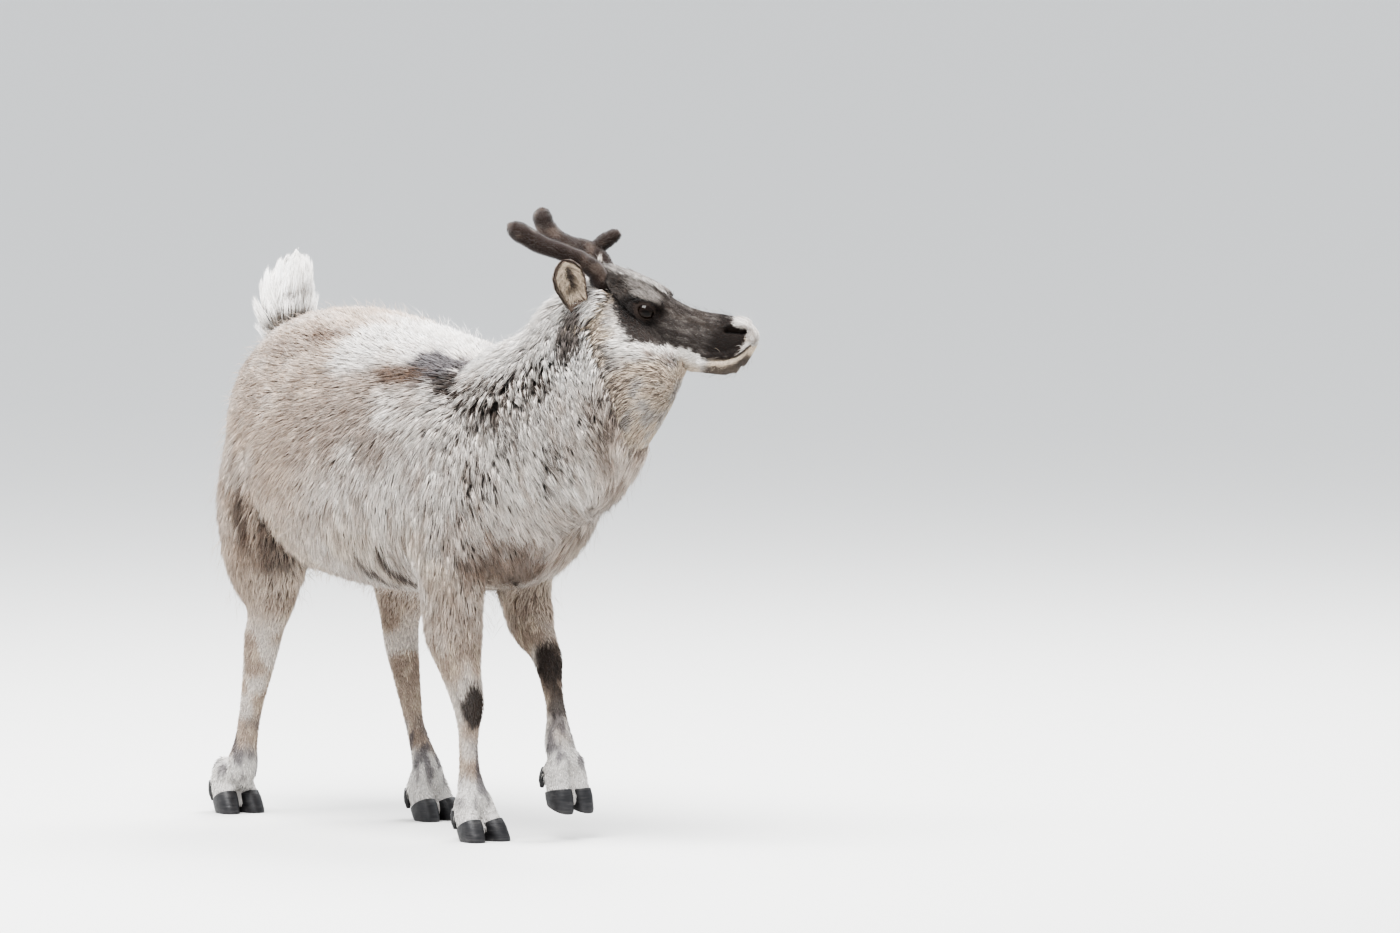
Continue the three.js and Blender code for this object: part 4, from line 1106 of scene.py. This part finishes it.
def blades(name, ground, sizes, colours, uv, spacing, crack=0.0, wild=0.13, sink=1.5):
    """One mesh of closed, tapered tufts: each rises from its root and bends over along the lie.

    ground is their roots, the skin's normals there and the lie; colours are those of tips and depths; clump
    edges and cracks get painted shade.
    """
    (root, normal, lie), (tip_colour, deep_colour) = ground, colours
    count = len(root)
    length, stand, clump, pull, width = sizes.T
    side = unit(np.cross(lie, normal))
    lie = unit(lie + side * rng.normal(0, wild, count)[:, None])
    length = length * rng.uniform(0.7, 1.25, count)
    stand = np.minimum(stand * rng.uniform(0.55, 1.1, count), 0.85 * length)
    run = np.sqrt(length**2 - stand**2)
    tip = root + lie * run[:, None] + normal * stand[:, None]
    own, edge, reach, tone = clumps_of(root, clump, spacing)
    drawn = tip[own] + (root - root[own]) * 0.25 + rng.normal(0, 0.09, (count, 3)) * clump[:, None]
    tip = tip + (drawn - tip) * (pull * reach)[:, None]
    start = root - normal * sink
    middle = start + (tip - start) * 0.42 + normal * (stand * 0.3)[:, None]
    middle += side * (rng.normal(0, 0.05, count) * length)[:, None]
    width = width * rng.uniform(0.75, 1.25, count)
    across = side * (width / 2)[:, None]
    ridge = middle + normal * (width * 0.4)[:, None]
    points = np.stack([start, middle - across, middle + across, ridge, tip], axis=1)
    points[..., 2] = np.maximum(points[..., 2], LOWEST)
    light = (1 + 0.09 * tone + 0.09 * rng.normal(0, 1, count))[:, None]
    # Tufts at the edges of their clumps are darker: painted shade between the clumps.
    light = light * (1 - 0.2 * edge)[:, None]
    # Where the coat cracks, tufts at the clumps' edges turn near-black umber: painted shade in the cracks,
    # over the coat's darker depths.
    dark = (crack * edge**1.5)[:, None]
    tip_colour = np.clip(tip_colour * light * (1 - dark) + dark * HUE["umber"] * 0.6, 0.003, 0.95)
    deep_colour = np.clip(deep_colour * light * (1 - dark) + dark * HUE["umber"] * 0.4, 0.003, 0.95)
    # Each tuft runs from the depth colour at its root to the tip colour: the darker root is partly the
    # hairs' own darker bases and partly painted shade deep in the coat.
    mid_colour = deep_colour + (tip_colour - deep_colour) * 0.55
    colours = np.stack([deep_colour, mid_colour, mid_colour, mid_colour, tip_colour], axis=1)
    faces = (np.arange(count)[:, None, None] * 5 + BLADE[None]).reshape(-1, 3)
    made = new_object(name, points.reshape(-1, 3), faces)
    paint(made, colours.reshape(-1, 3))
    places = (uv[:, None, :] + BLADE_PLACE[None]).reshape(-1, 2)
    layer = made.data.uv_layers.new(name="OFBake")
    layer.data.foreach_set("uv", places[faces.ravel()].astype(np.float32).ravel())
    return smooth_shaded(made)


# ---- Materials


class Shade:
    """A value in a material's nodes that can be used in an expression."""

    def __init__(self, board, socket):
        self.board, self.socket = board, socket

    def _math(self, operation, *others):
        return self.board.add("ShaderNodeMath", {"operation": operation}, dict(enumerate((self, *others))))

    def __add__(self, other):
        return self._math("ADD", other)

    __radd__ = __add__

    def __mul__(self, other):
        return self._math("MULTIPLY", other)

    __rmul__ = __mul__


class Board:
    """A material's nodes."""

    def __init__(self, name, roughness, **uniform):
        self.material = bpy.data.materials.new(name)
        self.material.use_nodes = True
        self.tree = self.material.node_tree
        self.shader = self.tree.nodes["Principled BSDF"]
        uniform = {socket.replace("_", " "): value for socket, value in uniform.items()}
        self.feed(self.shader, {"Roughness": roughness, **uniform})

    def feed(self, node, sockets):
        """Gives a node's sockets, by name or number, their values or links."""
        for socket, value in sockets.items():
            if isinstance(value, Shade):
                self.tree.links.new(value.socket, node.inputs[socket])
            else:
                node.inputs[socket].default_value = value

    def add(self, kind, settings, sockets, out=0):
        """A node of a type, with its settings first, such as a ramp's stops, and then its sockets."""
        node = self.tree.nodes.new(kind)
        for name, value in settings.items():
            if name != "stops":
                setattr(node, name, value)
                continue
            while len(node.color_ramp.elements) < len(value):
                node.color_ramp.elements.new(0.5)
            for element, (place, shade) in zip(node.color_ramp.elements, value):
                element.position = place
                element.color = (*([shade] * 3 if np.isscalar(shade) else shade), 1)
        self.feed(node, sockets)
        return Shade(self, node.outputs[out])

    def painted(self):
        """The colour that the mesh carries."""
        return self.add("ShaderNodeVertexColor", {"layer_name": "coat"}, {})

    def ramp(self, value, *stops):
        """A ramp's colour; each stop is a place and a shade or a colour."""
        return self.add("ShaderNodeValToRGB", {"stops": stops}, {0: value})

    def mix(self, factor, a, b, blend="MIX"):
        """One colour over another."""
        a, b = (v if isinstance(v, Shade) else (*v, 1) for v in (a, b))
        settings = {"data_type": "RGBA", "blend_type": blend}
        return self.add("ShaderNodeMix", settings, {0: factor, 6: a, 7: b}, 2)

    def noise(self, scale, detail, stretch=(1, 1, 1)):
        """Noise on Object coordinates."""
        place = self.add("ShaderNodeTexCoord", {}, {}, "Object")
        place = self.add("ShaderNodeMapping", {}, {"Vector": place, "Scale": stretch})
        return self.add("ShaderNodeTexNoise", {}, {"Vector": place, "Scale": scale, "Detail": detail})

    def dress(self, colour, roughness):
        """Gives the shader its colour and roughness, and returns the material."""
        self.feed(self.shader, {"Base Color": colour, "Roughness": roughness})
        return self.material

    def bump(self, height, strength, distance):
        relief = {"Strength": strength, "Distance": distance, "Height": height}
        self.feed(self.shader, {"Normal": self.add("ShaderNodeBump", {}, relief)})


def coat_material(name, roughness=0.85, sheen=0.15):
    """Hair whose colour is carried by each tuft, with a little variation from hair to hair."""
    board = Board(name, roughness, Sheen_Weight=sheen, Specular_IOR_Level=0.25)
    fine, patchy = board.noise(900, 2), board.noise(90, 3)
    varied = board.mix(board.ramp(fine, (0.3, 0.72), (0.7, 1.0)), (0.55, 0.5, 0.46), (1, 1, 1))
    colour = board.mix(0.55, board.painted(), varied, "MULTIPLY")
    dull = board.ramp(patchy, (0.35, 0.0), (0.7, 0.28))
    colour = board.mix(dull, colour, (0.93, 0.9, 0.86), "MULTIPLY")
    board.bump(fine, 0.35, 0.0006)
    return board.dress(colour, patchy * 0.12 + (roughness - 0.06))


def velvet_material():
    """The antlers' short brown fur."""
    board = Board("velvet", 0.9, Sheen_Weight=0.4, Specular_IOR_Level=0.2)
    fine = board.noise(1400, 3)
    varied = board.mix(board.ramp(fine, (0.3, 0.55), (0.75, 1.0)), (0.35, 0.3, 0.28), (1, 1, 1))
    board.bump(fine + board.noise(260, 2) * 0.6, 0.6, 0.0008)
    return board.dress(board.mix(0.7, board.painted(), varied, "MULTIPLY"), fine * 0.15 + 0.8)


def horn_material():
    """Hoof horn: dark grey, in level rings, with the pale worn edges that the mesh carries."""
    board = Board("hoof_horn", 0.5)
    rings, fine = board.noise(160, 3, (0.35, 0.35, 2.2)), board.noise(900, 3)
    dark, grey, pale = (0.008, 0.008, 0.009), (0.02, 0.019, 0.02), (0.055, 0.052, 0.05)
    colour = board.ramp(rings, (0.25, dark), (0.55, grey), (0.85, pale))
    colour = board.mix(1.0, colour, board.painted(), "MULTIPLY")
    board.bump(rings + fine * 0.25, 0.5, 0.0012)
    return board.dress(colour, rings * 0.35 + fine * 0.15 + 0.25)


def eye_material():
    """A wet, dark eye: brown iris, black pupil, carried by the mesh's own colours."""
    board = Board("eye", 0.06, Coat_Weight=0.12, Coat_Roughness=0.03, Specular_IOR_Level=0.16)
    fibres = board.noise(1500, 3)
    colour = board.mix(board.ramp(fibres, (0.3, 0.0), (0.8, 0.4)), board.painted(), (0.02, 0.012, 0.008))
    return board.dress(colour, fibres * 0.04 + 0.04)


def skin_material():
    """The skin under the coat, in the colour of the coat's depths, darkened by painted shade under the coat
    and in its cracks.
    """
    board = Board("skin", 0.8, Specular_IOR_Level=0.25)
    hairs = board.noise(700, 4)
    colour = board.mix(board.ramp(hairs, (0.3, 0.35), (0.7, 0.0)), board.painted(), (0.05, 0.04, 0.035))
    board.bump(hairs, 0.5, 0.0009)
    return board.dress(colour, hairs * 0.2 + 0.7)


def paint(made, colours):
    attribute = made.data.color_attributes.new("coat", "FLOAT_COLOR", "POINT")
    rgba = np.ones((len(made.data.vertices), 4), np.float32)
    rgba[:, :3] = colours
    attribute.data.foreach_set("color", rgba.ravel())


def finished(made, material, slot, *nodes):
    made.data.materials.clear()
    made.data.materials.append(material)
    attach(made, "root")
    if nodes:
        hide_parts(*nodes)
    return made


# ---- Making the animal

body_skin, head_skin = make_skin()
ear_skins = {side: make_ear_skin(side) for side in SIDES}
HAIR = coat_material("long_coat")
SHORT_HAIR = coat_material("short_coat", 0.8, 0.08)
WHITE_HAIR = coat_material("tail_coat", 0.8, 0.2)
VELVET, HORN, EYE_GLOSS, SKIN = velvet_material(), horn_material(), eye_material(), skin_material()


def colours_at(points, guides):
    """Tip and depth colours of the coat at places, from the region each is in."""
    t = guides[:, SHARE]
    ahead, _, up = to_head(points).T
    on_leg = lies_in(guides, *LEGS) * smooth(0.2, 0.42, t)
    on_face = lies_in(guides, "head") * smooth(-50, -26, ahead + 0.25 * up)
    on_tail = lies_in(guides, "tail") * smooth(0.08, 0.2, t)
    colours = body_markings(points)
    for share, other in (
        (on_leg, leg_markings(points)),
        (on_face, face_markings(points)),
        (on_tail, (HUE["white"], HUE["white"])),
    ):
        colours = [colour + (new - colour) * share[:, None] for colour, new in zip(colours, other)]
    return colours


body = lie_over(body_skin, 60)
head = lie_over(head_skin, 30)
for made, (points, _, _, guides) in ((body_skin, body), (head_skin, head)):
    tip, deep = colours_at(points, guides)
    # The skin is darker than the coat's depths, and darker still in the cracks: painted shade under the
    # coat and between its clumps.
    crack = (crack_share(points) * smooth(-20, -60, to_head(points)[:, 0]))[:, None]
    paint(made, (deep * 0.5 + tip * 0.3) * (1 - 0.85 * crack))


def rooted(made, data, weight, count):
    """Roots over part of a skin, weighted at its vertices: their triangles' corners, shares and spacing."""
    triangles = triangles_of(made)
    chosen, share, area = scatter(data[0], triangles, weight[triangles].mean(1), count)
    return triangles[chosen], share[..., None], (area / count) ** 0.5


def grow(name, made, data, weight, count, cracked=0.0, wild=0.13):
    """Tufts over part of a skin."""
    points, normals, lie, guides = data
    corners, share, spacing = rooted(made, data, weight, count)
    own = guides[corners[:, 0]]

    def at(values):
        return (values[corners] * share).sum(1)

    root = at(points)
    sizes = at(coat_sizes(points, normals, guides))
    rise = toe_rise(root)
    sizes[:, 0] += 6 * smooth(-16, -4, rise) * smooth(4, 0, rise)  # a fringe over the hoof
    ground, crack = (root, unit(at(normals)), unit(at(lie))), crack_share(root) * cracked
    return blades(name, ground, sizes, colours_at(root, own), atlas_place(own), spacing, crack, wild)


def toe_rise(points):
    """How far places are past the line where the nearest hoof or dewclaw starts; negative on the toe."""
    far_off = -60.0
    most = np.full(len(points), far_off)
    for leg in LEGS.values():
        for hand in (1, -1):
            placed = foot_place(leg["foot"], hand)
            for (through, normal), reach in ((CORONET, 44), (DEWCLAW_CUT, 17)):
                spot_on, ahead = placed(np.array([through, through + unit(normal)]))
                middle = placed(np.array([through + [0, hand * TOE_APART, 0]]))[0]
                near = np.linalg.norm(points - middle, axis=1) < reach
                most = np.maximum(most, np.where(near, (points - spot_on) @ (ahead - spot_on), far_off))
    return most


points, _, _, guides = body
x, y, z = points.T
on_legs = lies_in(guides, *LEGS)
below_thigh = guides[:, SHARE] >= THIGH_END
long_part = lies_in(guides, "trunk") | (on_legs & ~below_thigh)
# Each piece of coat: where it grows, its count, and how far the dark gaps between its clumps show, with
# their painted shade.
tufts = {}
for name, here, cracked, counts in (
    ("rump", x < RUMP_END, 0, (21000, 18000)),
    ("flank", (x >= RUMP_END) & (x < FLANK_END), 1, (21000, 18000)),
    ("shoulder", x >= FLANK_END, 1, (16000, 14000)),
):
    for side, on_side, count in (("right", y <= 0, counts[0]), ("left", y > 0, counts[1])):
        tufts[f"coat_{name}_{side}"] = (long_part & here & on_side, count, cracked)
tufts["coat_neck"] = (lies_in(guides, "neck", "head"), 32000, 1)
tufts["coat_tail"] = (lies_in(guides, "tail"), 6000, 0)
tufts["coat_legs"] = (on_legs * below_thigh * smooth(2, -1, toe_rise(points)), 23000, 0)
for name, settings in tufts.items():
    is_tail = name == "coat_tail"
    made = grow(name, body_skin, body, *settings)
    finished(made, WHITE_HAIR if is_tail else HAIR, "tail_fur" if is_tail else "body_fur")
hairy = long_part | lies_in(guides, "neck")

points, _, _, guides = head
local = to_head(points)
to_eye = np.minimum(*(np.linalg.norm(local - EYE * [1, hand, 1], axis=1) for hand in (1, -1)))
to_nostril, to_mouth = (nearest_on_path(local[:, [0, 2]], path)[0] for path in (NOSTRIL, MOUTH))
bare = smooth(17.5, 20, to_eye) * smooth(3.5, 5.5, to_nostril) * smooth(2.0, 3.4, to_mouth)
furred = lies_in(guides, "head") * bare
for name, settings in {
    "coat_face": (furred * smooth(90, 100, local[:, 0]), 21000),
    "coat_crown": (furred * smooth(100, 90, local[:, 0]), 19000, 0, 0.24),
    "coat_nape": (lies_in(guides, "neck"), 12000, 0.5),
}.items():
    finished(grow(name, head_skin, head, *settings), SHORT_HAIR, "face_fur")


def stray_hairs(name, made, data, weight, count, length, stand, width, hue=None):
    """Single long hairs that stand out of the coat, in its colours or in one of their own."""
    points, normals, lie, guides = data
    corners, share, _ = rooted(made, data, weight, count)
    root, first = (points[corners] * share).sum(1), corners[:, 0]
    colours = [np.tile(HUE[hue], (count, 1))] * 2 if hue else colours_at(root, guides[first])
    sizes = np.tile([length, stand, 4.0, 0.0, width], (count, 1))
    ground = root, unit(normals[first]), unit(lie[first])
    return blades(name, ground, sizes, colours, atlas_place(guides[first]), 20.0, 0.0, 0.35)


finished(stray_hairs("stray_hairs", body_skin, body, hairy, 4000, 50.0, 31.0, 0.55), HAIR, "body_fur")
chin = furred * smooth(188, 204, local[:, 0]) * smooth(-18, -34, local[:, 2])
for name, settings in {
    "stray_face_hairs": (furred, 1000, 17.0, 9.0, 0.35),
    "whiskers": (chin, 80, 17.0, 13.0, 0.22, "cream"),
}.items():
    finished(stray_hairs(name, head_skin, head, *settings), SHORT_HAIR, "face_fur")

# Skin: one piece over every node of flesh
for made in ear_skins.values():
    paint(made, HUE["taupe"] * 0.6)
skin = smooth_shaded(join([body_skin, head_skin, *ear_skins.values()], "skin"))
flesh = ["torso", "neck", "head", "tail", "ear_left", "ear_right"]
flesh += [f"leg_{name}_{part}" for name in LEGS for part in ("upper", "lower")]
finished(skin, SKIN, "body_fur", *flesh)


# ---- Coat of the ears


def ear_coat(side):
    """Short pale hair on the back with a dark rim, and long cream hair that crosses the cup."""
    made = []
    for face, count, hue, length in (("back", 2300, "ash", 12.0), ("cup", 1700, "cream", 15.0)):
        t = 0.03 + 0.95 * rng.random(count) ** 0.8
        across = rng.uniform(-1, 1, count)
        is_back = face == "back"

        def surface(t, across):
            return ear_surface(side, t, across, -ear_thickness(t, across) if is_back else 0.0)

        root = surface(t, across)
        ahead = surface(np.minimum(t + 0.02, 1), across) - surface(np.maximum(t - 0.02, 0), across)
        wide = surface(t, np.minimum(across + 0.03, 1)) - surface(t, np.maximum(across - 0.03, -1))
        normal = unit(np.cross(wide, ahead))
        facing = unit(ear_surface(side, 0.5, 0.0, 5.0) - ear_surface(side, 0.5, 0.0, 0.0))
        normal *= (np.sign(normal @ facing) * (-1 if is_back else 1))[:, None]
        lie = flat_on(normal, unit(ahead) - (0 if is_back else 0.5) * unit(wide) * np.sign(across)[:, None])
        rim = smooth(0.66, 0.9, np.abs(across)) + smooth(0.86, 0.97, t)
        front = across if side == "right" else -across
        slit = smooth(0.4, 0.1, np.abs(front - 0.2)) * smooth(0.12, 0.22, t) * smooth(0.86, 0.7, t)
        slit = np.maximum(slit, 0.8 * smooth(-0.72, -0.86, front))
        tip = washed(
            HUE[hue],
            (0.9 * np.clip(rim, 0, 1) * is_back, "umber"),
            (0.95 * slit * (not is_back), "charcoal"),
        )
        uv = np.stack([0.87 + 0.05 * across + (0.06 if side == "left" else 0), 0.02 + 0.2 * t], axis=1)
        size = length * (0.6 + 0.4 * np.minimum(1, (1.1 - t) / 0.3)) * (1 - 0.35 * np.clip(rim, 0, 1))
        size = size + 9 * smooth(0.4, 0.15, t) * (not is_back)
        sizes = np.column_stack([size, np.full((count, 4), [3.0, 3.5, 0.3, 1.2])])
        # The depths, washed with taupe: partly darker hair bases, partly painted shade deep in the hair.
        colours = tip, washed(tip, (0.5, "taupe"))
        ground = root, normal, lie
        made.append(blades(f"ear_{side}_{face}", ground, sizes, colours, uv, 1.6, 0.0, 0.2, 0.6))
    return finished(join(made, f"coat_ear_{side}"), SHORT_HAIR, "face_fur")


for side in SIDES:
    ear_coat(side)


# ---- Antlers


def knuckles(to_front, *rows):
    """An antler's form from rows (x, y, z, share of the full radius), all in the head's frame."""
    stations = [(*from_head(row[:3]), *[ANTLER_RADIUS * row[3]] * 3) for row in rows]
    return Form(stations, HEAD_TURN @ np.array(to_front, float))


BEAMS = {
    "right": knuckles(
        [0, 0, 1],
        *((6, -19, 2, 0.95), (-4, -24, 16, 1.08), (-16, -30, 29, 1)),
        *((-40, -38, 38, 0.96), (-69, -47, 43, 0.93), (-101, -56, 45, 0.97)),
        *((-132, -62, 52, 1.06), (-149, -66, 57, 0.85), (-158, -67, 60, 0.35)),
    ),
    "left": knuckles(
        [0.4, 0, 1],
        *((4, 17, 4, 0.95), (-7, 22, 18, 1.02), (-20, 30, 32, 0.95)),
        *((-42, 38, 38, 0.9), (-69, 46, 35, 0.84), (-95, 53, 34, 0.88)),
        *((-118, 59, 42, 1), (-129, 62, 54, 1), (-133, 64, 63, 0.75), (-135, 64, 68, 0.3)),
    ),
}
BROW_TINE = knuckles(
    [0, 1, 0],
    *((-36, 40, 40, 0.67), (-28, 43, 53, 0.83), (-18, 47, 66, 0.77)),
    *((-11, 49, 72, 0.63), (-6, 50, 75, 0.27)),
)
VELVET_DEPTH = 1.4


def velvet_inset(t):
    return VELVET_DEPTH + 0.7 * np.sin(t * 37) * np.sin(t * 11)


def antler(side, count):
    """A beam's skin under its velvet, and the velvet as short hair all over it."""
    form = BEAMS[side]
    shells, nodes = [form.shell(110, 30, velvet_inset)], [f"antler_{side}_beam"]
    if side == "left":
        shells.append(BROW_TINE.shell(40, 26, velvet_inset))
        nodes.append("antler_left_brow_tine")
    made = new_object(f"antler_{side}", *merged(shells))
    remeshed(made, ANTLER_VOXEL, 3)
    points, normals = points_of(made), normals_of(made)
    steps = np.linspace(0, 1, 120)
    t = steps[np.argmin(((points[:, None, :] - form.line(steps)[None]) ** 2).sum(-1), axis=1)]
    axis = form.axes(t)[0]
    lumps = lattice_noise(points, 9, 31)
    pale = smooth(0.55, 0.8, lattice_noise(points, 16, 32)) * 0.35 + 0.4 * smooth(0.9, 1.0, t)
    tone = washed(HUE["velvet"] * 0.33, (pale * 0.6, "taupe"))
    move_points(made, points + normals * (1.1 * (lumps - 0.5))[:, None])
    paint(made, tone)
    data = points, normals, axis, None
    corners, share, _ = rooted(made, data, np.ones(len(points)), count)
    root, normal = (points[corners] * share).sum(1), unit((normals[corners] * share).sum(1))
    first = corners[:, 0]
    lie = flat_on(normal, axis[first] + 0.5 * rng.normal(0, 1, (count, 3)))
    sizes = np.full((count, 5), [3.4, 2.3, 2.0, 0.2, 0.55])
    uv = np.stack([0.5 + 0.33 * rng.random(count), np.full(count, 0.52)], axis=1)
    # Darker at the roots than the tips: partly darker hair bases, partly painted shade deep in the velvet.
    colours = tone[first] * 1.5, tone[first] * 0.8
    fuzz = blades(f"velvet_{side}", (root, normal, lie), sizes, colours, uv, 1.0, 0.0, 0.3, 0.5)
    finished(smooth_shaded(made), VELVET, "velvet", *nodes)
    finished(fuzz, VELVET, "velvet")


for side, count in (("left", 9500), ("right", 8500)):
    antler(side, count)

# ---- Hooves and dewclaws


def horn_pieces(name, foot):
    """A foot's two hooves and two dewclaws, cut from the same forms as the toes."""
    parts, nodes = [], []
    for side, hand in SIDES.items():
        placed = foot_place(foot, hand)
        sole, below, inward = placed(np.array([[0.0, 0, 0], [0, 0, -1], [0, -hand, 0]]))
        for kind, shape, (through, normal), rings in (
            ("hoof", toe_form(hand), CORONET, 60),
            ("dewclaw", dewclaw_form(hand), DEWCLAW_CUT, 36),
        ):
            points, faces = shape.shell(rings, 34)
            growth = 0.6 * np.sin(points[:, 2] * 0.9 + 0.5 * points[:, 0])
            points = points + unit(points - points.mean(0)) * (0.25 * growth)[:, None]
            made = new_object(f"{kind}_{side}", placed(points), faces)
            start, ahead = placed(np.array([through, through + normal]))
            cut_away(made, start, start - ahead)
            cut_away(made, sole, below - sole)
            cut_away(made, sole, inward - sole)
            parts.append(made)
            nodes.append(f"{kind}_{side}_{name}")
    made = join(parts, f"hooves_{name}")
    points = points_of(made)
    wear = smooth(10, 2, points[:, 2] - foot["at"][2])
    paint(made, (1 + 0.9 * wear * lattice_noise(points, 6, 41))[:, None])
    only(made)
    bpy.ops.object.shade_smooth_by_angle(angle=math.radians(40))
    return finished(made, HORN, "horn", *nodes)


for name, leg in LEGS.items():
    horn_pieces(name, leg["foot"])

# ---- Eyes


def eye(side, hand):
    """An eyeball with its cornea, iris and level pupil."""
    centre, *axes = eye_axes(hand)
    facing, across, up = (HEAD_TURN @ v for v in axes)
    bpy.ops.mesh.primitive_uv_sphere_add(segments=64, ring_count=40, radius=EYE_RADIUS / 1000)
    made = bpy.context.object
    made.name = made.data.name = f"eye_ball_{side}"
    local = points_of(made) - ORIGIN
    off, ahead = np.hypot(local[:, 0], local[:, 1]), local[:, 2] > 0
    local[:, 2] += 1.2 * np.exp(-((off / 8.5) ** 2)) * ahead
    pupil = smooth(1.15, 0.9, np.hypot(local[:, 0] / 6.2, local[:, 1] / 3.4)) * ahead
    iris = (smooth(11.5, 10.0, off) * ahead)[:, None]
    tone = HUE["umber"] * 0.1 * (1 - iris) + iris * HUE["umber"] * 0.16
    placed = from_head(centre) + local[:, :1] * across + local[:, 1:2] * up + local[:, 2:] * facing
    move_points(made, placed)
    with editing(made):
        bpy.ops.mesh.normals_make_consistent(inside=False)
    paint(made, tone * (1 - 0.95 * pupil[:, None]))
    return finished(smooth_shaded(made), EYE_GLOSS, "eye", f"eye_{side}")


for side, hand in SIDES.items():
    eye(side, hand)

# ---- Floor, light and camera

AIM = np.array([376.7, 538.0, 529.0])
CAMERA_AZIMUTH, CAMERA_ELEVATION = 55.0, 4.2
CAMERA_DISTANCE = 40.0
FRAME_WIDTH = 2.156  # metres seen across at the aim's distance
LAMPS = (  # name, place, width, power
    ("key", (0.9, -1.8, 4.8), 3.2, 520),
    ("fill", (-3.5, -1.5, 2.4), 3.0, 60),
    ("rim", (-1.6, 2.6, 4.2), 2.8, 260),
)


def held(name, data, place, facing):
    """A lamp or camera at a place, in metres, that looks along a direction."""
    holder = bpy.data.objects.new(name, data)
    bpy.context.scene.collection.objects.link(holder)
    holder.location = place
    holder.rotation_euler = facing.to_track_quat("-Z", "Y").to_euler()
    return holder


def studio():
    """The floor, the daylight and the lamps."""
    bpy.context.scene.view_settings.look = "AgX - High Contrast"
    bpy.ops.mesh.primitive_plane_add(size=600, location=(0, 0, 0))
    floor = bpy.context.object
    floor.name = "floor"
    floor.data.materials.append(Board("floor", 0.9, Base_Color=(0.62, 0.615, 0.6, 1)).material)
    world = bpy.data.worlds.new("studio")
    world.use_nodes = True
    daylight = world.node_tree.nodes["Background"].inputs
    daylight["Color"].default_value = (0.83, 0.86, 0.9, 1)
    daylight["Strength"].default_value = 1.25
    bpy.context.scene.world = world
    for name, place, width, power in LAMPS:
        lamp = bpy.data.lights.new(name, "AREA")
        lamp.energy, lamp.size = power, width
        held(name, lamp, place, Vector((0, 0, 0.5)) - Vector(place))


def camera():
    """The photograph's camera: far away, to the animal's right and ahead of it."""
    a, e = math.radians(CAMERA_AZIMUTH), math.radians(CAMERA_ELEVATION)
    back = Vector((math.sin(a) * math.cos(e), -math.cos(a) * math.cos(e), math.sin(e)))
    lens = bpy.data.cameras.new("camera")
    lens.sensor_width, lens.clip_end = 36, 100
    lens.lens = 36 * CAMERA_DISTANCE / FRAME_WIDTH
    bpy.context.scene.camera = held("camera", lens, Vector(to_frame(AIM)) + back * CAMERA_DISTANCE, -back)


studio()
camera()
